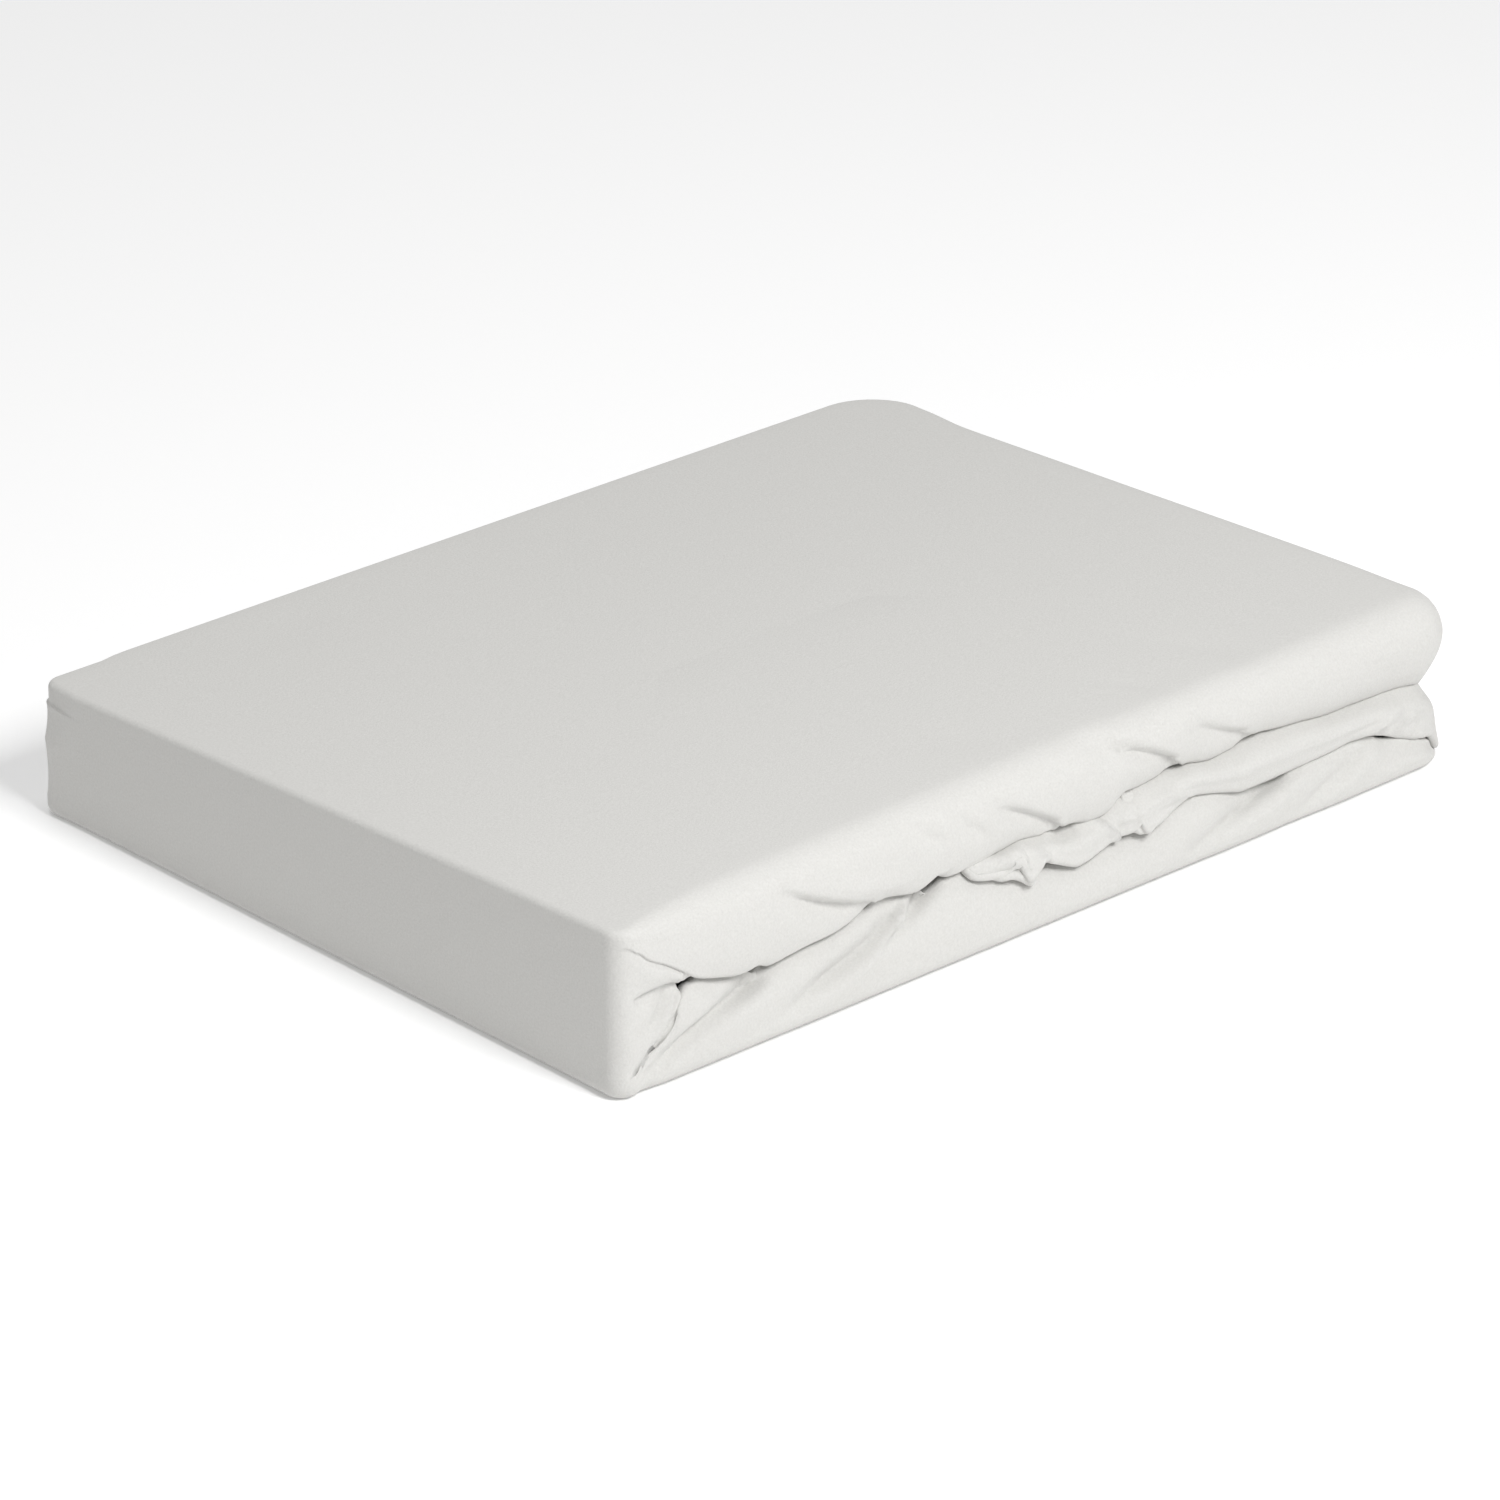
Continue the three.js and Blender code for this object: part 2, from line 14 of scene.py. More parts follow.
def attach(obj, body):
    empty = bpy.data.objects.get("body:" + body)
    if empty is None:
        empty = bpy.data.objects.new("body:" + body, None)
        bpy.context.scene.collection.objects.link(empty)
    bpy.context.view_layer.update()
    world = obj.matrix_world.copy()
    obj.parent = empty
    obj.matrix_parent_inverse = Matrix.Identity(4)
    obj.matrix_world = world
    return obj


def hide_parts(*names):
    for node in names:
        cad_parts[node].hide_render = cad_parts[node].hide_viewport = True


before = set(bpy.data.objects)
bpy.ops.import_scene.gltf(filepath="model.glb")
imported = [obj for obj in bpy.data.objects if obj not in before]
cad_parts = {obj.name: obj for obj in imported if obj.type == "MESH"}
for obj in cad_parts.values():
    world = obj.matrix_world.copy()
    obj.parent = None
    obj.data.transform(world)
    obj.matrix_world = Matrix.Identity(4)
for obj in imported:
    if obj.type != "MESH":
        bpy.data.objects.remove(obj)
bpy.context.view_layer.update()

MM = 0.001
LENGTH = 380.0
DEPTH = 288.0
PLY = 1.8
LAYERS = 20
CROWN = 1.2
MOST_PUFF = 2.0


def table(columns, rows):
    """Rows of numbers under named columns, as one array for each column."""
    return {name: np.array([row[i] for row in rows], object) for i, name in enumerate(columns)}


# The plan's corners, counter-clockwise from the near one, with the pack's height at each.
CORNERS = table(
    ("x", "y", "height", "radius"),
    (
        (-1, -1, 57.6, 7.0),
        (1, -1, 59.6, 21.0),
        (1, 1, 47.8, 25.0),
        (-1, 1, 47.4, 7.0),
    ),
)

# Sides and corners in order round the plan. A row's place is x along the front and the back, y along
# the end and the wall, and degrees of turn round a corner.
SIDES = ("front", "right", "end", "far", "back", "left", "wall", "near")

# Heights of the edges of the upper and the lower lip above the ground.
UPPER_EDGE = table(
    ("side", "at", "edge"),
    (
        ("front", -183, 49.6),
        ("front", -178, 45.7),
        ("front", -171.5, 42.0),
        ("front", -167.5, 39.4),
        ("front", -165.5, 38.0),
        ("front", -163, 36.4),
        ("front", -160, 34.1),
        ("front", -157, 32.2),
        ("front", -149.6, 29.4),
        ("front", -139.6, 26.3),
        ("front", -130.5, 24.9),
        ("front", -123.5, 25),
        ("front", -117.4, 25.8),
        ("front", -109.4, 26.1),
        ("front", -100.3, 25.9),
        ("front", -91.3, 26.7),
        ("front", -86.2, 27.9),
        ("front", -82.2, 29.5),
        ("front", -78.2, 30.6),
        ("front", -70.1, 29.8),
        ("front", -61.1, 29.2),
        ("front", -53.1, 29.9),
        ("front", -41, 30.2),
        ("front", -34, 30.3),
        ("front", -26, 31.1),
        ("front", -17, 31.8),
        ("front", -12, 31.1),
        ("front", -5, 29.7),
        ("front", 0.1, 29.7),
        ("front", 3.1, 30.9),
        ("front", 7.1, 30.8),
        ("front", 12.1, 29.6),
        ("front", 17.1, 28.8),
        ("front", 21.1, 29.2),
        ("front", 24.1, 30.5),
        ("front", 28.1, 33.1),
        ("front", 31.1, 34.2),
        ("front", 35.1, 33.9),
        ("front", 46.1, 33.9),
        ("front", 55.1, 34.9),
        ("front", 59.1, 35.1),
        ("front", 65.1, 33.7),
        ("front", 72.1, 32.8),
        ("front", 80.1, 32.9),
        ("front", 88.1, 35),
        ("front", 93.1, 35.7),
        ("front", 100.1, 34.8),
        ("front", 112, 33.5),
        ("front", 125.9, 31.7),
        ("front", 140.7, 31.1),
        ("front", 152.6, 30.6),
        ("front", 163.5, 30),
        ("front", 169, 29.2),
        ("right", 22, 27.4),
        ("right", 50, 24.8),
        ("right", 75, 24.8),
        ("end", -123, 25.6),
        ("end", -96, 28.4),
        ("end", -40, 29.6),
        ("end", 30, 29.6),
        ("end", 90, 29.0),
        ("end", 119, 33.0),
        ("back", 163, 44.6),
        ("back", 0, 44.6),
        ("back", -160, 44.2),
        ("back", -165, 40.4),
        ("back", -183, 40.0),
        ("wall", 137, 39.8),
        ("wall", 80, 38.0),
        ("wall", 0, 40.0),
        ("wall", -80, 40.0),
        ("wall", -137, 50.0),
        ("near", 58, 51.9),
    ),
)
LOWER_EDGE = table(
    ("side", "at", "edge"),
    (
        ("front", -183, 8.6),
        ("front", -178, 12.4),
        ("front", -171.5, 15.9),
        ("front", -167.5, 19.2),
        ("front", -165.5, 23.6),
        ("front", -163, 28.0),
        ("front", -160, 30.2),
        ("front", -155, 30.8),
        ("front", -150, 29.4),
        ("front", -140, 26.8),
        ("front", -131, 25.4),
        ("front", -124, 24.6),
        ("front", -118, 25.0),
        ("front", -110, 26.4),
        ("front", -101, 26.6),
        ("front", -92, 28.6),
        ("front", -87, 30.4),
        ("front", -80, 32.4),
        ("front", -71, 31.8),
        ("front", -62, 29.6),
        ("front", -56, 29.0),
        ("front", -50, 29.6),
        ("front", -44, 29.4),
        ("front", -39, 27.4),
        ("front", -28, 24.4),
        ("front", -18, 23.0),
        ("front", -9, 21.4),
        ("front", -4, 21.0),
        ("front", 1, 19.6),
        ("front", 11, 18.4),
        ("front", 20, 19.6),
        ("front", 28, 20.0),
        ("front", 38, 21.6),
        ("front", 50, 24.6),
        ("front", 58, 26.6),
        ("front", 70, 24.4),
        ("front", 84, 20.4),
        ("front", 98, 20.2),
        ("front", 126, 21.0),
        ("front", 140, 21.4),
        ("front", 146, 19.4),
        ("front", 151, 16.2),
        ("front", 161, 14.4),
        ("front", 169, 11.9),
        ("right", 22, 9.0),
        ("right", 50, 3.6),
        ("right", 75, 3.6),
        ("end", -123, 4.0),
        ("end", -96, 9.5),
        ("end", -40, 13.0),
        ("end", 30, 12.8),
        ("end", 90, 11.0),
        ("end", 119, 8.0),
        ("back", 163, 4.2),
        ("back", -160, 4.2),
        ("back", -165, 6.0),
        ("back", -183, 6.4),
        ("wall", 137, 7.0),
        ("wall", 80, 8.0),
        ("wall", -137, 8.0),
    ),
)

# The outer layer from the top's edge down to the upper lip. out is its inset from the plan, round the
# radius of the top's edge, lip the inset of the lip's edge and turn the radius of its curl. flare and under
# are the slopes in degrees with which the side leaves the rounded edge and reaches the lip.
UPPER = table(
    ("side", "at", "out", "round", "flare", "under", "lip", "turn"),
    (
        ("front", -183, 0.0, 4.4, 0, 0, -0.4, 0.8),
        ("front", -178, 0.0, 5.8, 2, 0, -0.8, 1.0),
        ("front", -171.5, 0.1, 7.4, 6, 3, -0.9, 1.1),
        ("front", -166, 0.2, 8.4, 9, 7, -0.7, 1.3),
        ("front", -160, 0.4, 9.4, 12, 11, -0.1, 1.6),
        ("front", -150, 0.6, 10.8, 15, 20, 1.2, 2.4),
        ("front", -62, 0.9, 13.0, 18, 27, 2.4, 3.0),
        ("front", 20, 1.0, 14.4, 18, 29, 3.0, 3.4),
        ("front", 98, 1.2, 15.0, 16, 29, 3.8, 3.6),
        ("front", 169, 1.3, 14.6, 12, 30, 5.5, 3.9),
        ("right", 50, 1.4, 14.0, 8, 30, 8.0, 3.4),
        ("end", -123, 1.2, 14.0, 8, 30, 8.0, 3.4),
        ("end", -90, 0.8, 13.0, 12, 24, 6.4, 3.8),
        ("end", 90, 0.6, 11.0, 12, 20, 5.0, 4.0),
        ("end", 119, 0.0, 7.0, 4, 8, 2.0, 3.0),
        ("back", 163, 0.0, 2.1, 0, 0, 0.0, 2.1),
        ("back", 150, 0.0, 2.1, 0, 0, 0.0, 2.1),
        ("back", -153, 0.4, 2.1, 0, 0, 0.4, 2.1),
        ("back", -160, 0.8, 2.1, 0, 0, 0.8, 2.1),
        ("back", -165, 1.2, 2.4, 0, 0, 1.2, 0.8),
        ("wall", 137, 1.2, 2.4, 0, 0, 1.2, 0.8),
        ("wall", 127, 0.0, 2.2, 0, 0, 0.0, 0.8),
        ("wall", -137, 0.0, 2.4, 0, 0, 0.0, 0.8),
    ),
)

# The outer layer from the ground up to the lower lip, in the same way. foot is the radius at the ground.
LOWER = table(
    ("side", "at", "out", "foot", "flare", "under", "lip", "turn"),
    (
        ("front", -183, 0.0, 5.6, 0, 0, 0.2, 0.8),
        ("front", -178, 0.0, 5.2, 0, 0, 0.6, 0.9),
        ("front", -171.5, -0.2, 5.0, 0, 2, 0.9, 1.0),
        ("front", -166, -0.6, 5.4, 0, 8, 0.9, 1.2),
        ("front", -160, -0.6, 5.4, 0, 22, 1.8, 2.2),
        ("front", -150, -0.9, 5.8, 0, 42, 4.6, 3.0),
        ("front", -130, -1.1, 6.0, 0, 48, 5.0, 2.6),
        ("front", -104, -1.1, 6.0, 0, 50, 5.2, 2.6),
        ("front", -84, -1.1, 6.0, 0, 50, 5.4, 2.6),
        ("front", -76, -1.1, 6.0, 0, 50, 5.4, 3.0),
        ("front", -64, -1.1, 6.0, 0, 50, 5.8, 3.4),
        ("front", -54, -1.1, 6.0, 0, 50, 5.6, 3.2),
        ("front", -42, -1.1, 6.0, 0, 50, 5.4, 2.8),
        ("front", -32, -1.1, 6.0, 0, 50, 5.2, 2.6),
        ("front", 20, -1.1, 6.0, 0, 50, 4.8, 2.4),
        ("front", 98, -0.9, 5.8, 0, 50, 4.6, 2.4),
        ("front", 140, -0.5, 5.4, 0, 44, 3.8, 2.4),
        ("front", 169, 0.0, 5.0, 0, 20, 3.4, 1.8),
        ("right", 50, 2.2, 1.6, 0, 6, 3.6, 0.8),
        ("end", -123, 2.6, 1.6, 0, 6, 4.2, 0.8),
        ("end", -90, 0.6, 3.4, 0, 12, 3.0, 1.6),
        ("end", 90, 0.0, 4.0, 0, 12, 2.0, 2.0),
        ("end", 119, 0.0, 3.0, 0, 4, 1.0, 2.0),
        ("back", 163, 0.0, 2.0, 0, 0, 0.0, 2.0),
        ("back", -160, 0.0, 2.0, 0, 0, 0.0, 2.0),
        ("back", -165, -0.6, 5.0, 0, 0, -0.6, 0.8),
        ("wall", 137, -0.6, 6.4, 0, 0, -0.6, 0.8),
        ("wall", 127, 0.0, 5.0, 0, 0, 0.0, 0.8),
        ("wall", -137, 0.0, 4.4, 0, 0, 0.0, 0.8),
    ),
)

# The slit between the lips. Where open is 0 the cloth is whole and creased at the height seam, as deep
# as tail. Where it is 1 each lip curls in to its own depth and ends that far above or below its edge.
SLIT = table(
    ("side", "at", "open", "tail", "curl", "low_tail", "low_curl", "seam"),
    (
        ("front", -183, 0, 0.9, 0, 0.9, 0, 32.8),
        ("front", -178, 0, 1.7, 0, 1.7, 0, 32.9),
        ("front", -171.5, 0, 2.2, 0, 2.2, 0, 33.2),
        ("front", -164.0, 0, 2.8, 0, 2.8, 0, 32.2),
        ("front", -162.4, 1, 2.8, -3.4, 6.0, 1.5, 31.8),
        ("front", -160, 1, 2.7, -1.3, 9.6, 3, 31.8),
        ("front", -158.4, 1, 2.8, 0, 10.0, 3.4, 31.8),
        ("front", -156.6, 1, 5.0, 1.8, 10.4, 3.8, 31.8),
        ("front", -153, 1, 10.0, 4, 10.8, 4.4, 31.8),
        ("front", -62, 1, 12.5, 6, 12.5, 6, 31.8),
        ("front", 169, 1, 12.0, 6, 12.0, 6, 20),
        ("end", -123, 1, 14.0, 3, 14.0, 1, 20),
        ("end", 90, 1, 13.0, 5, 13.0, 5, 27),
        ("end", 119, 1, 8.0, 1, 8.0, 1, 27),
        ("back", 163, 1, 7.5, 0, 7.5, 0, 27),
        ("back", 150, 1, 14.0, 0, 14.0, 0, 27),
        ("back", -153, 1, 14.0, 0, 14.0, 0, 27),
        ("back", -160, 1, 4.8, 0, 4.8, 0, 27),
        ("back", -165, 0, -0.6, 0, -0.6, 0, 27),
        ("wall", 137, 0, -0.6, 0, -0.6, 0, 27),
        ("wall", 127, 0, 0.0, 0, 0.0, 0, 28),
        ("wall", -137, 0, 0.0, 0, 0.0, 0, 32.4),
        ("near", 45, 0, 0.0, 0, 0.0, 0, 32.6),
    ),
)

# The gathered fold between the lips. Its upper part lies drop under the upper lip's edge, at the inset
# brow. face is the inset of its belly, edge that of its hem, low the hem's height above the ground and
# turn the hem's radius.
GATHER = table(
    ("side", "at", "drop", "brow", "face", "edge", "low", "turn"),
    (
        ("front", -42, 0.4, 12.0, 11.0, 10.0, 31.0, 0.9),
        ("front", -40, 0.4, 8.0, 6.0, 5.0, 29.2, 0.9),
        ("front", -38.2, 0.4, 6.8, 4.4, 3.2, 27.0, 0.9),
        ("front", -35.6, 0.4, 6.4, 3.6, 2.6, 25.8, 1.0),
        ("front", -31.7, 0.4, 6.0, 3.0, 2.2, 24.9, 1.0),
        ("front", -27.8, 0.4, 5.6, 2.4, 1.6, 24.5, 1.0),
        ("front", -23.8, 0.4, 5.2, 2.0, 1.0, 25.5, 0.9),
        ("front", -20.4, 0.4, 5.0, 1.4, 0.3, 27.4, 0.8),
        ("front", -18.7, 0.4, 4.8, 1.0, -0.8, 24.6, 0.8),
        ("front", -17.2, 0.4, 4.8, 0.8, -1.8, 21.2, 0.8),
        ("front", -15.1, 0.4, 4.8, 0.8, -1.4, 21.8, 0.9),
        ("front", -11.0, 0.4, 4.8, 1.6, 0.0, 22.8, 1.0),
        ("front", -7.4, 0.4, 5.0, 2.4, 1.2, 24.1, 1.0),
        ("front", -4.4, 0.4, 5.0, 2.0, 1.0, 22.4, 1.2),
        ("front", -1.5, 1.0, 5.4, 1.6, 1.0, 21.1, 1.2),
        ("front", 3.9, 2.6, 7.0, 1.2, 1.0, 18.7, 1.2),
        ("front", 6.7, 2.6, 7.0, 1.2, 1.0, 17.8, 1.2),
        ("front", 10.3, 1.2, 5.6, 1.4, 1.5, 17.8, 1.2),
        ("front", 17.5, 0.4, 5.2, 2.0, 2.0, 19.2, 1.2),
        ("front", 22.5, 0.4, 5.6, 3.0, 2.5, 20.3, 1.2),
        ("front", 26.2, 0.8, 6.2, 3.4, 3.0, 21.1, 1.0),
        ("front", 28.0, 1.2, 6.0, 2.6, 2.5, 21.2, 1.0),
        ("front", 30.6, 2.0, 6.0, 1.6, 1.5, 21.6, 1.0),
        ("front", 32.6, 2.2, 6.0, 1.2, 0.6, 22.4, 0.8),
        ("front", 33.8, 1.8, 5.8, 1.0, -0.4, 24.8, 0.7),
        ("front", 34.8, 1.2, 5.6, 0.8, -0.9, 23.2, 0.7),
        ("front", 36.2, 0.4, 5.4, 0.8, -1.4, 20.9, 0.8),
        ("front", 40.0, 0.4, 5.4, 1.0, -0.4, 21.5, 1.0),
        ("front", 42.8, 0.4, 5.4, 1.4, 0.0, 21.8, 1.0),
        ("front", 48.3, 0.4, 5.6, 1.4, 1.0, 23.3, 1.0),
        ("front", 53.4, 0.4, 5.8, 1.2, 1.6, 25.1, 1.0),
        ("front", 57.0, 0.4, 5.8, 1.0, 2.0, 26.2, 1.1),
        ("front", 60.0, 0.4, 5.8, 0.9, 2.2, 25.6, 1.2),
        ("front", 68.0, 0.4, 6.0, 0.8, 2.4, 23.8, 1.3),
        ("front", 77.4, 0.4, 6.1, 0.7, 2.5, 21.2, 1.4),
        ("front", 84.4, 1.2, 6.6, 0.6, 2.5, 19.5, 1.5),
        ("front", 94, 1.6, 7.2, 0.5, 2.4, 19.6, 1.6),
        ("front", 110, 0.4, 6.8, 0.6, 2.4, 20.0, 1.6),
        ("front", 124, 0.4, 7.0, 0.8, 2.4, 20.6, 1.6),
        ("front", 136, 0.4, 7.3, 1.2, 2.8, 21.2, 1.6),
        ("front", 141, 0.4, 7.4, 1.5, 2.8, 21.2, 1.5),
        ("front", 151, 0.4, 7.6, 2.0, 3.0, 18.6, 1.4),
        ("front", 161, 0.4, 7.8, 2.6, 3.2, 14.6, 1.4),
        ("front", 169, 0.4, 8.4, 3.2, 2.8, 12.4, 1.2),
        ("right", 22, 0.4, 8.7, 4.0, 2.8, 10.6, 1.2),
        ("right", 36, 0.4, 8.9, 4.4, 2.4, 6.4, 1.0),
        ("right", 48, 0.4, 9.0, 4.6, 1.8, 2.6, 0.8),
        ("end", -123, 0.4, 9.6, 4.4, 1.8, 3.2, 1.0),
        ("end", -102, 0.4, 9.0, 3.4, 2.4, 9.2, 1.4),
        ("end", -50, 0.4, 8.0, 3.6, 3.4, 13.6, 1.4),
        ("end", 10, 0.4, 8.0, 3.8, 3.6, 13.8, 1.4),
        ("end", 60, 0.4, 8.4, 5.4, 5.0, 12.8, 1.2),
        ("end", 84, 0.4, 11.0, 10.0, 9.6, 12.8, 0.9),
    ),
)

# The layer of the gathered fold that shows under its hem, in its two pinched ruffles.
UNDER = table(
    ("ruffle", "side", "at", "drop", "brow", "face", "edge", "low", "turn"),
    (
        (1, "front", -32, 0.4, 7.0, 5.0, 4.0, 25.6, 0.8),
        (1, "front", -27.7, 0.4, 6.6, 4.0, 2.6, 23.6, 0.8),
        (1, "front", -24.2, 0.4, 6.2, 3.6, 1.8, 23.2, 0.8),
        (1, "front", -21.1, 0.4, 6.0, 3.4, 1.2, 22.2, 0.8),
        (1, "front", -17.9, 0.4, 6.0, 3.0, 0.4, 20.4, 0.8),
        (1, "front", -15.0, 0.4, 6.0, 2.6, 0.0, 18.6, 0.8),
        (1, "front", -12.4, 0.4, 6.0, 3.0, 2.0, 20.6, 0.8),
        (1, "front", -9, 0.4, 7.0, 4.6, 4.0, 24.0, 0.8),
        (2, "front", 30, 0.4, 7.0, 4.0, 3.4, 22.6, 0.7),
        (2, "front", 32.4, 0.4, 6.6, 3.0, 1.6, 21.8, 0.7),
        (2, "front", 34.6, 0.4, 6.4, 2.2, 0.6, 20.6, 0.7),
        (2, "front", 36.6, 0.4, 6.4, 2.2, 0.6, 20.2, 0.7),
        (2, "front", 39, 0.4, 7.0, 4.0, 3.4, 22.6, 0.7),
    ),
)
GATHER_LAYER = 11
GATHER_ROOT = 17.5
HEM_PLY = 0.9
GATHER_STEP = 0.6
UNDER_STEP = 0.5

# How far the inner layers' folds lie in at the back and the front, by x.
STACK = table(
    ("x", "back", "front"),
    (
        (-186.2, 4.4, 15.0),
        (-171, 4.4, 14.6),
        (-166, 8.6, 14.8),
        (-160, 8.6, 14.8),
        (-154, 1.8, 14.6),
        (-110, 1.2, 14.4),
        (-55, 1.6, 15.2),
        (0, 1.1, 14.6),
        (60, 1.7, 15.0),
        (110, 1.3, 14.5),
        (147, 1.9, 14.8),
        (158, 8.0, 14.6),
        (175.5, 10.6, 14.8),
    ),
)
STRIP_END = 9.0
LAYER_STEP = 9.0

# Rings of the flat top and base, as shares of the way in from their edge to the innermost ring.
TOP_RINGS = (1, 0.8, 0.62, 0.48, 0.37, 0.28, 0.2, 0.14, 0.09, 0.04)
BASE_RINGS = (1, 0.4)
INNERMOST = 142.6

# Soft folds, each a curve through three places. Its bottom is depth in, and left and right are the
# widths of its two slopes, seen along the curve. start and stop are the shares of the depth at its ends.
FOLD_COLUMNS = ("x0", "z0", "xm", "zm", "x1", "z1", "depth", "left", "right", "start", "stop")

# On the front and the corners, by length round the plan and height.
FRONT_FOLDS = table(
    FOLD_COLUMNS,
    (
        # The upper lip.
        (-129, 54.6, -106, 41.4, -84, 33.2, 4.0, 1.2, 6.5, 0.0, 0.5),
        (-106, 48.5, -91, 41.2, -72, 36.5, -1.0, 4.0, 2.4, 0.0, 0.6),
        (-74, 57.5, -62, 51.4, -49, 42.0, 1.6, 2.0, 4.0, 0.0, 0.0),
        (-51, 53.5, -39.6, 45.6, -29, 37.2, 1.5, 2.0, 4.0, 0.0, 0.2),
        (-35, 52.4, -18, 43.8, -3, 35.0, 3.2, 1.3, 5.5, 0.0, 1.0),
        (7, 58.4, 31, 50.8, 51, 40.0, 3.6, 1.4, 6.0, 0.0, 1.0),
        (54, 55.0, 68, 46.2, 83, 39.6, 2.8, 1.7, 5.5, 0.0, 1.0),
        (120, 60.0, 136, 51.0, 153, 39.4, 0.6, 6.0, 5.0, 0.0, 1.0),
        # The lower lip.
        (-178, 6.8, -157, 15.2, -131, 23.4, 5.4, 2.4, 3.4, 0.3, 1.0),
        (-168, 7.0, -143, 15.0, -116, 23.2, -1.7, 2.4, 5.0, 0.2, 0.4),
        (-163, 20.0, -157, 26.0, -150, 28.5, -0.8, 3.0, 3.0, 0.0, 0.4),
        (-130, 7.0, -101, 14.4, -75, 24.4, 5.2, 5.0, 2.2, 0.1, 1.0),
        (-112, 7.4, -92, 13.6, -70, 24.0, -1.8, 2.0, 4.0, 0.2, 1.0),
        (-88, 14.6, -71, 21.6, -54, 31.0, 4.4, 1.3, 3.0, 0.0, 1.0),
        (-66, 20.0, -56, 25.0, -44, 28.5, -1.2, 2.5, 5.0, 0.0, 0.6),
        (58, 6.5, 80, 13.0, 103, 19.2, 3.6, 4.0, 1.8, 0.5, 1.0),
        (72, 6.6, 94, 11.0, 116, 18.2, -1.8, 2.0, 4.2, 0.3, 0.6),
        (104, 4.6, 121, 9.6, 137, 15.6, 2.6, 4.0, 2.4, 0.2, 1.0),
        (122, 4.6, 134, 9.6, 148, 15.2, -1.2, 2.2, 4.0, 0.2, 0.6),
        # The tuck beside the near corner.
        (-182, 32.8, -176, 33.0, -166, 32.6, 1.6, 0.9, 2.2, 1.0, 0.8),
        (-184.0, 7.4, -174.5, 14.4, -166.3, 21.8, 2.4, 1.0, 1.1, 0.5, 0.5),
        (-188, 23.4, -182, 22.8, -176.5, 24.6, 0.9, 1.6, 1.4, 0.0, 0.2),
        (-179.5, 19.0, -175.0, 24.8, -169.5, 31.2, 2.2, 1.3, 1.2, 0.1, 0.8),
        (-174.5, 17.0, -171.5, 22.4, -168.2, 29.6, -1.2, 1.2, 1.2, 0.2, 0.5),
        (-171.8, 17.4, -168.8, 22.6, -166.8, 28.8, 1.5, 0.9, 1.0, 0.2, 0.8),
    ),
)

# On the gathered fold, in the same way.
GATHER_FOLDS = table(
    FOLD_COLUMNS,
    (
        (-38, 29.5, -29, 28.9, -19, 27.2, 2.2, 1.4, 0.9, 1.0, 0.5),
        (-22, 30.2, -15, 29.4, -7.4, 24.8, 0.8, 0.8, 0.8, 0.6, 1.0),
        (7, 32.4, 17, 27.8, 25, 21.8, 1.8, 0.9, 1.2, 0.6, 1.0),
        (24, 25.6, 30, 27.0, 36, 28.4, 0.9, 0.8, 0.8, 0.0, 0.4),
        (33, 26.6, 43, 28.9, 59, 26.2, 2.0, 1.0, 1.5, 0.2, 0.3),
        (140, 22.6, 148, 23.6, 156, 26.4, 2.0, 1.0, 1.4, 0.4, 0.4),
        (156.4, 27.0, 157.4, 23.0, 157.4, 19.4, 1.0, 0.8, 1.0, 0.3, 0.6),
        (157, 19.4, 164, 21.6, 172, 23.4, 1.4, 0.8, 1.0, 0.6, 0.8),
        (-27.3, 24.0, -22, 24.6, -16.4, 24.0, 0.8, 0.7, 0.5, 1.0, 0.4),
        (-26, 23.4, -20, 22.9, -14, 18.9, 0.7, 0.6, 0.6, 1.0, 0.4),
    ),
)

# On the top, by x and y.
TOP_FOLDS = table(
    FOLD_COLUMNS,
    (
        (-36, -101, -20, -108, -4, -113, 0.5, 4.0, 3.0, 0.0, 0.0),
        (50, -105, 55, -117, 60, -129, 0.4, 4.0, 4.0, 0.0, 0.0),
        (88, -86, 92, -108, 98, -129, 0.5, 6.0, 6.0, 0.0, 0.0),
        (-137, 100, -108, 116, -79, 128, 0.5, 8.0, 6.0, 0.0, 0.0),
        (-80, 30, -60, 42, -40, 52, 0.5, 10.0, 10.0, 0.0, 0.0),
    ),
)

# Distances between sections along the front: from x, to x and the step. Beyond COARSE_FROM the gathered
# fold's sections are further apart.
FRONT_STEPS = ((-183, -150, 0.7), (-150, 60, 0.9), (60, 169, 1.3))
FRONT_LENGTH = 352.0
COARSE_FROM = 60.0
SIDE_STEP = 6.0
CORNER_STEPS = 10

# Rows of points down the upper lip's face, up the lower lip's, round an edge's curl and along a tail.
UPPER_STEPS = 26
LOWER_STEPS = 22
ROUND_STEPS = 7
TURN_STEPS = 5
TAIL_STEPS = 11

# The folds of the front are whole up to FRONT_REACH from FRONT_MIDDLE, by length round the plan, and
# fade out beyond it.
FRONT_MIDDLE = -7.0
FRONT_REACH = 205.0
FRONT_FADE = 12.0


def number(column):
    """A table's column as plain numbers."""
    return column.astype(float)


def corner_at(index, inset):
    """Centre and radius of a corner's arc, inset from the plan."""
    radius = np.maximum(number(CORNERS["radius"])[index] - inset, 1.2)
    x = number(CORNERS["x"])[index] * (LENGTH / 2 - inset - radius)
    y = number(CORNERS["y"])[index] * (DEPTH / 2 - inset - radius)
    return x, y, radius


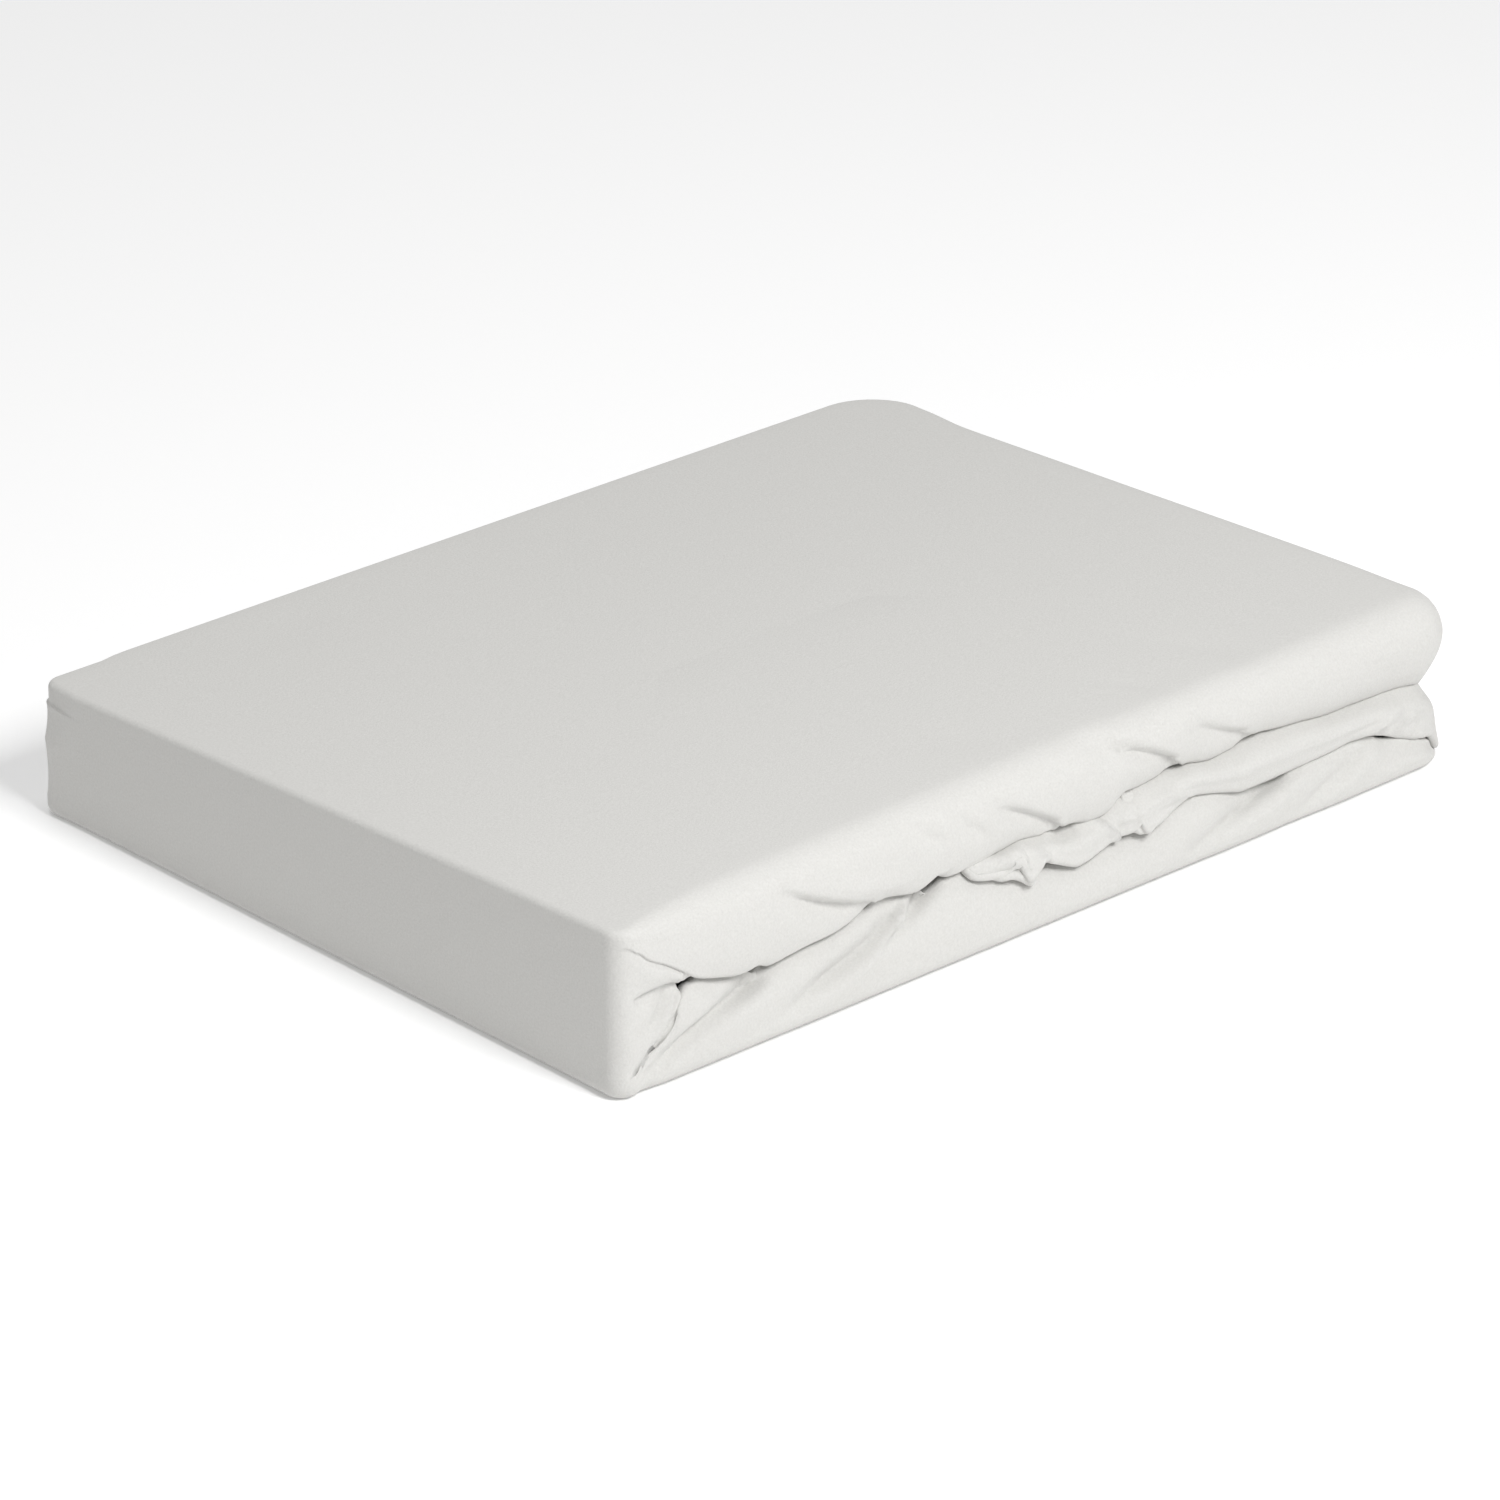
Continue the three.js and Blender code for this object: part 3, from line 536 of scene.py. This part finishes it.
def plan(way, inset):
    """A point of the plan. The whole numbers of way are the sides, from the front round to the wall."""
    side = np.floor(way).astype(int) % 4
    share = (way - np.floor(way)) * 2
    turn = (side - 1 + np.clip(share - 1, 0, 1)) * math.pi / 2
    along = np.clip(share, 0, 1)
    x0, y0, r0 = corner_at(side, inset)
    x1, y1, r1 = corner_at((side + 1) % 4, inset)
    x = (x0 + np.cos(turn) * r0) * (1 - along) + (x1 + np.cos(turn) * r1) * along
    y = (y0 + np.sin(turn) * r0) * (1 - along) + (y1 + np.sin(turn) * r1) * along
    return x, y


def way_of(side, at):
    """A table row's place as a way round the plan."""
    index = SIDES.index(side)
    if index % 2:
        return index / 2 + at / 180
    axis = index // 2 % 2
    start = float(plan(np.array(index / 2), 0.0)[axis])
    end = float(plan(np.array(index / 2 + 0.4999999), 0.0)[axis])
    return index / 2 + min(max((at - start) / (end - start), 0), 1) / 2


def smooth(places, values, at):
    """A smooth line through values that never passes beyond its neighbours."""
    gaps = np.diff(places)
    slopes = np.diff(values) / gaps
    tangent = np.zeros(len(values))
    same = slopes[1:] * slopes[:-1] > 0
    both = slopes[1:] + slopes[:-1]
    tangent[1:-1][same] = 2 * (slopes[1:] * slopes[:-1])[same] / both[same]
    tangent[0], tangent[-1] = slopes[0], slopes[-1]
    index = np.clip(np.searchsorted(places, at, side="right") - 1, 0, len(gaps) - 1)
    gap = gaps[index]
    t = np.clip((at - places[index]) / gap, 0, 1)
    start = (1 + 2 * t) * (1 - t) ** 2 * values[index] + t * (1 - t) ** 2 * gap * tangent[index]
    end = t * t * (3 - 2 * t) * values[index + 1] + t * t * (t - 1) * gap * tangent[index + 1]
    return start + end


def read_around(rows, way):
    """Every column of a table of places, read smoothly at the ways asked for."""
    places = np.array([way_of(side, at) for side, at in zip(rows["side"], rows["at"])])
    ring = np.concatenate([places[-2:] - 4, places, places[:2] + 4])
    found = {}
    for name in rows:
        if name not in ("side", "at"):
            values = number(rows[name])
            found[name] = smooth(ring, np.concatenate([values[-2:], values, values[:2]]), way)
    return found


def top_height(x, y):
    """Height of the top, between its four corners and slightly crowned."""
    u = np.clip(x / LENGTH + 0.5, 0, 1)
    v = np.clip(y / DEPTH + 0.5, 0, 1)
    near, right, far, left = number(CORNERS["height"])
    level = (near * (1 - u) + right * u) * (1 - v) + (left * (1 - u) + far * u) * v
    return level + CROWN * (0.25 + 3 * u * (1 - u)) * 4 * v * (1 - v)


def layer_height(layer, x, y):
    """Height of a layer's middle, counted from the lowest."""
    return PLY / 2 + (top_height(x, y) - PLY) * layer / (LAYERS - 1)


def eased(t):
    """A share from 0 to 1 that starts and ends gently."""
    t = np.clip(t, 0, 1)
    return t * t * (3 - 2 * t)


def line_rows(points, steps):
    """A smooth line through a few control points: (inset, height) pairs of arrays, one row each step."""
    rows = []
    padded = [points[0], *points, points[-1]]
    for i in range(1, len(padded) - 2):
        p0, p1, p2, p3 = padded[i - 1 : i + 3]
        for t in np.arange(0, 1, 1 / steps):
            rows.append(
                tuple(
                    0.5 * (2 * b + (c - a) * t + (2 * a - 5 * b + 4 * c - d) * t**2
                           + (3 * b - a - 3 * c + d) * t**3)
                    for a, b, c, d in zip(p0, p1, p2, p3)
                )
            )
    rows.append(points[-1])
    return rows


def lip_rows(sizes, rounding, edge, tail, end, puff, steps):
    """Half a section of the outer layer, as (inset, depth) rows from its flat face to its tail."""
    out, turn, lip = sizes["out"], sizes["turn"], sizes["lip"]
    flare, under = np.radians(sizes["flare"]), np.radians(sizes["under"])
    turn = np.minimum(turn, edge * 0.35)
    rounding = np.minimum(rounding, edge * 0.5)
    step = np.clip(tail - lip, -turn, turn)
    rows = []
    for share in np.linspace(0, 1, ROUND_STEPS + 1):
        angle = share * (math.pi / 2 - flare)
        rows.append((out + rounding * (1 - np.sin(angle)), rounding * (1 - np.cos(angle))))
    start, stop = rows[-1], (lip + step * (1 - np.cos(under)), edge - turn * (1 - np.sin(under)))
    drop = stop[1] - start[1]
    for t in np.linspace(0, 1, steps + 1)[1:]:
        inset = (1 + 2 * t) * (1 - t) ** 2 * start[0] + t * t * (3 - 2 * t) * stop[0]
        inset = inset - t * (1 - t) ** 2 * drop * np.tan(flare) + t * t * (t - 1) * drop * np.tan(under)
        rows.append((inset, start[1] + drop * t))
    for share in np.linspace(0, 1, TURN_STEPS + 1)[1:]:
        angle = under + share * (math.pi / 2 - under)
        rows.append((lip + step * (1 - np.cos(angle)), edge - turn * (1 - np.sin(angle))))
    inner = (lip + step, edge)
    middle = (inner[0] * 0.5 + tail * 0.5 - puff, edge * 0.58 + end * 0.42)
    bend = [2 * m - 0.5 * (a + b) for a, m, b in zip(inner, middle, (tail, end))]
    for t in np.linspace(0, 1, TAIL_STEPS + 1)[1:]:
        parts = zip(inner, bend, (tail, end))
        rows.append(tuple((1 - t) ** 2 * a + 2 * t * (1 - t) * c + t * t * b for a, c, b in parts))
    return rows


def stations():
    """Ways of all sections round the outer layer."""
    ways = []
    for start, end, step in FRONT_STEPS:
        places = np.arange(start, end, step)
        ways.extend(way_of("front", x) for x in places)
    ways.extend(0.5 + 0.5 * np.arange(CORNER_STEPS) / CORNER_STEPS)
    for side in (1, 2, 3):
        length = DEPTH if side % 2 else LENGTH
        ways.extend(side + 0.5 * np.arange(0, 1, SIDE_STEP / length))
        ways.extend(side + 0.5 + 0.5 * np.arange(CORNER_STEPS) / CORNER_STEPS)
    return np.array(ways)


def lengths_round(way):
    """Length round the plan, which is x along the front and falls below it round the near corner."""
    fine = np.linspace(0, 4, 4001)
    x, y = plan(fine[:-1], 0.0)
    x, y = np.append(x, x[0]), np.append(y, y[0])
    total = np.concatenate([[0], np.cumsum(np.hypot(np.diff(x), np.diff(y)))])
    length = np.interp(way, fine, total)
    return x[0] + np.where(way > 2.75, length - total[-1], length)


class Cloth:
    """Grids of points collected into one surface."""

    def __init__(self):
        self.points = []
        self.faces = []
        self.maps = []
        self.count = 0

    def add(self, points):
        """Adds a grid of points and returns their numbers."""
        numbers = np.arange(points.shape[0] * points.shape[1]).reshape(points.shape[:2]) + self.count
        self.points.append(points.reshape(-1, 3))
        self.count += numbers.size
        return numbers

    def skin(self, numbers, chart, turned=False):
        """Faces between neighbouring sections of a grid, with the knit's chart."""
        order = ((0, 0), (0, 1), (1, 1), (1, 0))
        order = order[::-1] if turned else order
        rows, columns = numbers.shape[0] - 1, numbers.shape[1] - 1
        ids = [numbers[i : i + rows, j : j + columns] for i, j in order]
        places = [chart[i : i + rows, j : j + columns] for i, j in order]
        self.faces.extend(np.stack(ids, axis=-1).reshape(-1, 4).tolist())
        self.maps.append(np.stack(places, axis=-2).reshape(-1, 2))


def section_points(way, rows, height_of):
    """Grid of points from (inset, z) rows at every way."""
    inset = np.stack([np.broadcast_to(row[0], way.shape) for row in rows], axis=1).astype(float)
    depth = np.stack([np.broadcast_to(row[1], way.shape) for row in rows], axis=1).astype(float)
    x, y = plan(np.repeat(way[:, None], inset.shape[1], axis=1), inset)
    return np.stack([x, y, height_of(x, y, depth)], axis=-1)


def from_ground(px, py, rise):
    return rise


def ringed(grid):
    """A grid round the plan, closed with its first section again."""
    return np.concatenate([grid, grid[:1]])


def grid_normals(points, closed):
    """Normals of a grid of points, which is closed or open along its sections."""
    if closed:
        along = np.roll(points, -1, axis=0) - np.roll(points, 1, axis=0)
    else:
        along = np.gradient(points, axis=0)
    normal = np.cross(np.gradient(points, axis=1), along)
    return normal / np.maximum(np.linalg.norm(normal, axis=-1, keepdims=True), 1e-9)


def carved(across, height, rows):
    """How deep the folds of a table are at the places of a chart."""
    total = np.zeros(across.shape)
    t = np.linspace(0, 1, 41)
    weights = ((1 - t) * (1 - 2 * t), 4 * t * (1 - t), t * (2 * t - 1))
    for row in zip(*(number(rows[name]) for name in FOLD_COLUMNS)):
        x0, z0, xm, zm, x1, z1, depth, left, right, start, stop = row
        line = np.stack([sum(w * p for w, p in zip(weights, ps)) for ps in ((x0, xm, x1), (z0, zm, z1))])
        reach = 3 * max(left, right)
        near = (across > line[0].min() - reach) & (across < line[0].max() + reach)
        near &= (height > line[1].min() - reach) & (height < line[1].max() + reach)
        place = np.stack([across[near], height[near]])
        away = place[:, :, None] - line[:, None, :]
        nearest = np.argmin((away**2).sum(axis=0), axis=1)
        away = away[:, np.arange(len(nearest)), nearest]
        course = np.gradient(line, axis=1)[:, nearest]
        on_left = course[0] * away[1] - course[1] * away[0] > 0
        share = t[nearest]
        strength = np.minimum(
            start + (1 - start) * eased(share / 0.5), stop + (1 - stop) * eased((1 - share) / 0.35)
        )
        width = np.where(on_left, left, right)
        total[near] += depth * strength * np.exp(-((np.hypot(*away) / width) ** 1.5))
    return total


def uneven(across, height):
    """Slight waves of the soft sides."""
    slow = np.sin(across / 13.0 + 0.8 * np.sin(height / 9.0)) * np.sin(height / 11.0 + 1.3)
    quick = np.sin(across / 5.1 + height / 4.3 + 2.0) * np.sin(across / 8.7 - height / 6.1)
    return 0.16 * slow + 0.08 * quick


def outer_layer():
    """The two halves of the outer layer as grids of points, and how open the slit is."""
    way = stations()
    upper, lower = read_around(UPPER, way), read_around(LOWER, way)
    upper_height, lower_height = (read_around(rows, way)["edge"] for rows in (UPPER_EDGE, LOWER_EDGE))
    slit = read_around(SLIT, way)
    height = top_height(*plan(way, 0.0))
    tail, low_tail, is_open = slit["tail"], slit["low_tail"], eased(slit["open"])
    puff = (1 - is_open) * np.minimum(tail, MOST_PUFF)
    upper_edge = height - upper_height
    upper_end = (1 - is_open) * (height - slit["seam"]) + is_open * (upper_edge - slit["curl"])
    lower_end = (1 - is_open) * slit["seam"] + is_open * (lower_height - slit["low_curl"])

    def from_top(px, py, depth):
        fading = eased(1 - depth / np.maximum(upper["round"], 0.1)[:, None])
        return height[:, None] + (top_height(px, py) - height[:, None]) * fading - depth

    shells = []
    for sizes, rounding, edge, depth, end, steps, shares, height_of in (
        (upper, upper["round"], upper_edge, tail, upper_end, UPPER_STEPS, TOP_RINGS, from_top),
        (lower, lower["foot"], lower_height, low_tail, lower_end, LOWER_STEPS, BASE_RINGS, from_ground),
    ):
        rows = lip_rows(sizes, rounding, edge, depth, end, puff, steps)
        start = rows[0][0]
        rings = [(start + (INNERMOST - start) * share, 0.0) for share in shares]
        shells.append((section_points(way, rings + rows, height_of), len(rings)))
    return way, shells, is_open


def side_chart(points, first, across):
    """The knit's chart: flat on the top and the base, unrolled down the sides."""
    down = np.linalg.norm(np.diff(points[:, first:], axis=1), axis=2)
    down = np.concatenate([np.zeros((len(points), 1)), np.cumsum(down, axis=1)], axis=1)
    u = np.repeat(across[:, None], down.shape[1], axis=1)
    return np.stack([u, -DEPTH / 2 - down], axis=-1)


def build():
    """The whole cloth: outer layer, inner layers and the gathered fold."""
    cloth = Cloth()
    way, shells, is_open = outer_layer()
    across = lengths_round(way)
    front = 1 - eased((np.abs(across - FRONT_MIDDLE) - FRONT_REACH) / FRONT_FADE)
    tails = []
    for (points, first), turned in zip(shells, (False, True)):
        side = points[:, first:]
        place = np.repeat(across[:, None], side.shape[1], axis=1)
        depth = carved(place, side[..., 2], FRONT_FOLDS)
        inward = eased(np.linspace(3, 0, side.shape[1]))
        outward = eased(np.linspace(0, 4, side.shape[1]))
        depth = depth + uneven(place, side[..., 2]) * np.minimum(inward, outward)
        depth = depth * front[:, None]
        normal = grid_normals(points, True)[:, first:] * (1 if turned else -1)
        points[:, first:] = side + normal * depth[..., None]
        points[..., 2] = np.maximum(points[..., 2], 0)
        if not turned:
            top = points[:, : first + 4]
            sunk = carved(top[..., 0], top[..., 1], TOP_FOLDS)
            points[:, : first + 4, 2] = top[..., 2] - sunk
        tails.append(points[:, -1])
    closed = is_open < 1e-6
    middle = (tails[0][closed] + tails[1][closed]) / 2
    for points, first in shells:
        points[closed, -1] = middle
    rims = []
    for (points, first), turned in zip(shells, (False, True)):
        numbers = ringed(cloth.add(points))
        if turned:
            numbers[:-1, -1][closed] = rims[0][:-1][closed]
            numbers[-1] = numbers[0]
        rims.append(numbers[:, -1])
        flat = ringed(points[:, : first + 1, :2])
        cloth.skin(numbers[:, : first + 1], flat, turned)
        edge = np.append(across, across[0])
        seam = int(np.argmax(np.abs(np.diff(edge))))
        chart = side_chart(ringed(points), first, edge)
        for part in (slice(0, seam + 1), slice(seam + 1, None)):
            cloth.skin(numbers[part, first:], chart[part], turned)
        gap = np.linalg.norm(points[seam + 1, first] - points[seam, first])
        join = np.stack([edge[seam], edge[seam] + gap])
        chart = side_chart(ringed(points)[seam : seam + 2], first, join)
        cloth.skin(numbers[seam : seam + 2, first:], chart, turned)
        centre = points[:, 0].mean(axis=0)
        middle_number = cloth.add(centre.reshape(1, 1, 3))
        hub = np.repeat(middle_number, len(numbers), axis=0)
        fan = np.concatenate([hub, numbers[:, :1]], axis=1)
        triangles = [(int(a), int(b), int(c)) for (a, b), (_, c) in zip(fan[:-1], fan[1:])]
        if turned:
            triangles = [t[::-1] for t in triangles]
        cloth.faces.extend(triangles)
        corners = np.concatenate(cloth.points)[np.array(triangles).ravel()][:, :2]
        cloth.maps.append(corners)
    inner_layers(cloth)
    hem_fold(cloth, GATHER, GATHER_STEP)
    for ruffle in (1, 2):
        chosen = UNDER["ruffle"] == ruffle
        hem_fold(cloth, {name: UNDER[name][chosen] for name in UNDER if name != "ruffle"}, UNDER_STEP)
    return cloth


def close_edges(cloth, outer, inner):
    """The four narrow edges between the two sides of a strip."""
    for a, b in (
        (outer[0], inner[0]),
        (inner[-1], outer[-1]),
        (inner[:, 0], outer[:, 0]),
        (outer[:, -1], inner[:, -1]),
    ):
        numbers = np.stack([a, b])
        cloth.skin(numbers, np.zeros(numbers.shape + (2,)))


def strip_chart(points, across):
    """The knit's chart on a strip, unrolled along its sections."""
    down = np.linalg.norm(np.diff(points, axis=1), axis=2)
    down = np.concatenate([np.zeros((len(points), 1)), np.cumsum(down, axis=1)], axis=1)
    return np.stack([np.repeat(across[:, None], down.shape[1], axis=1), down], axis=-1)


def layer_lines(x, side):
    """One side of the inner layers: from the strip under the top, back and forth, to the lowest layer."""
    back = smooth(number(STACK["x"]), number(STACK["back"]), x)
    front = smooth(number(STACK["x"]), number(STACK["front"]), x)
    far_x, far_y, far_r = corner_at(2, back)
    beyond = np.maximum(x - far_x, 0)
    back_edge = far_y + np.sqrt(np.maximum(far_r**2 - beyond**2, 0))
    start = DEPTH / 2 - np.maximum(STRIP_END, back)
    half = PLY / 2
    line = [(start, layer_height(LAYERS - 2, x, start) + side * half)]
    for layer in range(LAYERS - 2, 1, -1):
        at_front = layer % 2 == 0
        facing = 1 if at_front else -1
        offset = half * side * facing
        ragged = 0.5 + 0.5 * np.sin(layer * 2.4 + x / 60)
        edge = front + ragged - DEPTH / 2 if at_front else back_edge - ragged
        high, low = layer_height(layer, x, edge), layer_height(layer - 1, x, edge)
        radius, outer = (high - low) / 2 + offset, (high - low) / 2 + half
        for place in (-60.0, 60.0):
            y = np.full(len(x), -place if at_front else place)
            line.append((y, layer_height(layer, x, y) + offset))
        for degrees in (90, 54, 18, -18, -54, -90):
            angle = math.radians(degrees)
            reach = edge + facing * (outer - radius * math.cos(angle))
            line.append((reach, (high + low) / 2 + radius * math.sin(angle)))
    line.append((start, layer_height(1, x, start) + side * -half))
    return np.stack([np.stack([x, y, z], axis=-1) for y, z in line], axis=1)


def inner_layers(cloth):
    """The layers inside, folded back and forth."""
    first, last = number(STACK["x"])[[0, -1]]
    x = np.concatenate([np.arange(first, last - LAYER_STEP / 2, LAYER_STEP), [last]])
    sides = [layer_lines(x, side) for side in (1, -1)]
    numbers = [cloth.add(points) for points in sides]
    for ids, points, turned in zip(numbers, sides, (True, False)):
        cloth.skin(ids, strip_chart(points, x), turned)
    close_edges(cloth, numbers[1], numbers[0])


def hem_fold(cloth, rows, step):
    """A hanging fold of cloth between the lips, with its hem curled in."""
    places = np.array([way_of(side, at) for side, at in zip(rows["side"], rows["at"])])
    coarse = way_of("front", COARSE_FROM)
    fine = 0.5 * step / FRONT_LENGTH
    way = [np.arange(places[0], min(coarse, places[-1]) - fine / 2, fine)]
    if places[-1] > coarse:
        way.append(np.arange(coarse, 0.5 - fine, fine * 3))
        way.append(np.linspace(0.5, 1.0, 12)[:-1])
        way.append(np.linspace(1.0, places[-1], 26))
    way = np.concatenate(way)
    row = {name: smooth(places, number(rows[name]), way) for name in rows if name not in ("side", "at")}
    lip = read_around(UPPER_EDGE, way)["edge"]
    root = layer_height(GATHER_LAYER, *plan(way, GATHER_ROOT)) + PLY / 2
    turn = row["turn"]
    hem = row["low"] + turn
    brow = np.maximum(np.minimum(lip - row["drop"], root - 0.6), hem + 2)
    line = [
        (GATHER_ROOT + 0 * way, root),
        ((GATHER_ROOT + row["brow"]) / 2, root * 0.7 + brow * 0.3 + 0.6),
        (row["brow"], brow),
        (row["face"], brow * 0.64 + hem * 0.36),
        (row["face"] * 0.4 + row["edge"] * 0.6, brow * 0.25 + hem * 0.75),
        (row["edge"], hem),
        (row["edge"] + turn * 0.8, row["low"]),
        (row["edge"] + turn * 2.2, row["low"] + 1.2 * turn),
    ]
    points = section_points(way, line_rows(line, 4), from_ground)
    across = lengths_round(way)
    place = np.repeat(across[:, None], points.shape[1], axis=1)
    visible = eased(np.linspace(-1.5, 6, points.shape[1])) * eased(np.linspace(6, -0.4, points.shape[1]))
    depth = carved(place, points[..., 2], GATHER_FOLDS) * visible
    normal = grid_normals(points, False)
    points = points + normal * depth[..., None]
    normal = grid_normals(points, False)
    chart = strip_chart(points, across)
    outer, inner = cloth.add(points), cloth.add(points + normal * HEM_PLY)
    cloth.skin(outer, chart)
    cloth.skin(inner, chart, True)
    close_edges(cloth, inner, outer)


def make_mesh(cloth, name):
    """The cloth as a mesh in metres, with its chart in metres too."""
    mesh = bpy.data.meshes.new(name)
    mesh.from_pydata((np.concatenate(cloth.points) * MM).tolist(), [], cloth.faces)
    layer = mesh.uv_layers.new(name="knit")
    layer.data.foreach_set("uv", (np.concatenate(cloth.maps) * MM).ravel())
    mesh.polygons.foreach_set("use_smooth", [True] * len(mesh.polygons))
    return mesh


# The jersey's grain, in metres, and its two tones.
GRAIN = 1 / 1300.0
GRAIN_DEPTH = 0.0003
DARK_YARN = (0.567, 0.56, 0.539, 1)
LIGHT_YARN = (0.69, 0.684, 0.663, 1)


def jersey():
    """Off-white cotton jersey: a fine, slightly uneven grain, matt."""
    material = bpy.data.materials.new("jersey")
    material.use_nodes = True
    nodes, links = material.node_tree.nodes, material.node_tree.links
    shader = nodes["Principled BSDF"]
    shader.inputs["Roughness"].default_value = 0.95
    shader.inputs["Specular IOR Level"].default_value = 0.25
    shader.inputs["Sheen Weight"].default_value = 0.15
    shader.inputs["Sheen Roughness"].default_value = 0.5
    place = nodes.new("ShaderNodeTexCoord")
    mottle = nodes.new("ShaderNodeTexNoise")
    mottle.inputs["Scale"].default_value = 1 / GRAIN
    mottle.inputs["Detail"].default_value = 3.0
    links.new(place.outputs["Object"], mottle.inputs["Vector"])
    tint = nodes.new("ShaderNodeMix")
    tint.data_type = "RGBA"
    tint.inputs[6].default_value = DARK_YARN
    tint.inputs[7].default_value = LIGHT_YARN
    links.new(mottle.outputs["Fac"], tint.inputs[0])
    links.new(tint.outputs[2], shader.inputs["Base Color"])
    bump = nodes.new("ShaderNodeBump")
    bump.inputs["Strength"].default_value = 0.45
    bump.inputs["Distance"].default_value = GRAIN_DEPTH
    links.new(mottle.outputs["Fac"], bump.inputs["Height"])
    links.new(bump.outputs["Normal"], shader.inputs["Normal"])
    return material


cloth = build()
mesh = make_mesh(cloth, "protector_cloth")
protector = bpy.data.objects.new("protector_cloth", mesh)
bpy.context.scene.collection.objects.link(protector)
mesh.materials.append(jersey())
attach(protector, "root")
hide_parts("folded_cloth")

# The floor, the light and the camera.
FLOOR_REACH = 6
FLOOR_LEVEL = -0.0002
floor_mesh = bpy.data.meshes.new("floor")
floor_corners = [
    (x * FLOOR_REACH, y * FLOOR_REACH, FLOOR_LEVEL) for x, y in ((-1, -1), (1, -1), (1, 1), (-1, 1))
]
floor_mesh.from_pydata(floor_corners, [], [(0, 1, 2, 3)])
floor = bpy.data.objects.new("floor", floor_mesh)
bpy.context.scene.collection.objects.link(floor)
paper = bpy.data.materials.new("paper")
paper.use_nodes = True
paper_shader = paper.node_tree.nodes["Principled BSDF"]
paper_shader.inputs["Base Color"].default_value = (0.93, 0.93, 0.93, 1)
paper_shader.inputs["Roughness"].default_value = 0.9
paper_shader.inputs["Emission Color"].default_value = (1, 1, 1, 1)
paper_shader.inputs["Emission Strength"].default_value = 0.14
floor_mesh.materials.append(paper)


def area_light(name, place, target, size, power):
    """A square soft lamp that faces its target."""
    light = bpy.data.lights.new(name, "AREA")
    light.size = size
    light.energy = power
    lamp = bpy.data.objects.new(name, light)
    lamp.location = place
    lamp.rotation_euler = (Vector(target) - Vector(place)).to_track_quat("-Z", "Y").to_euler()
    bpy.context.scene.collection.objects.link(lamp)


area_light("key", (-0.12, -1.3, 1.3), (0, 0, 0.03), 0.6, 22)
area_light("top", (0.0, 0.6, 5.0), (0, 0, 0), 3.2, 71)
area_light("side", (-2.2, 0.0, 0.9), (0, 0, 0.03), 1.2, 0.6)
world = bpy.data.worlds.new("studio")
bpy.context.scene.world = world
world.use_nodes = True
world.node_tree.nodes["Background"].inputs["Color"].default_value = (1, 1, 1, 1)
world.node_tree.nodes["Background"].inputs["Strength"].default_value = 0.34

# The camera, at the photograph's viewing angle. AIM is its shift to the right and up, in metres.
AZIMUTH = math.radians(-42.463)
ELEVATION = math.radians(24.6556)
DISTANCE = 2.43648
LENS = 176.439
AIM = (-0.003346, -0.014674)
MIDDLE = Vector((0, 0, 0.028))
back = Vector(
    (
        math.sin(AZIMUTH) * math.cos(ELEVATION),
        -math.cos(AZIMUTH) * math.cos(ELEVATION),
        math.sin(ELEVATION),
    )
)
right = Vector((math.cos(AZIMUTH), math.sin(AZIMUTH), 0))
up = back.cross(right)
place = MIDDLE + back * DISTANCE + right * AIM[0] + up * AIM[1]
camera = bpy.data.objects.new("camera", bpy.data.cameras.new("camera"))
camera.matrix_world = Matrix(
    (
        (right.x, up.x, back.x, place.x),
        (right.y, up.y, back.y, place.y),
        (right.z, up.z, back.z, place.z),
        (0, 0, 0, 1),
    )
)
camera.data.sensor_width = 36
camera.data.lens = LENS
bpy.context.scene.collection.objects.link(camera)
bpy.context.scene.camera = camera
bpy.context.scene.view_settings.view_transform = "Standard"
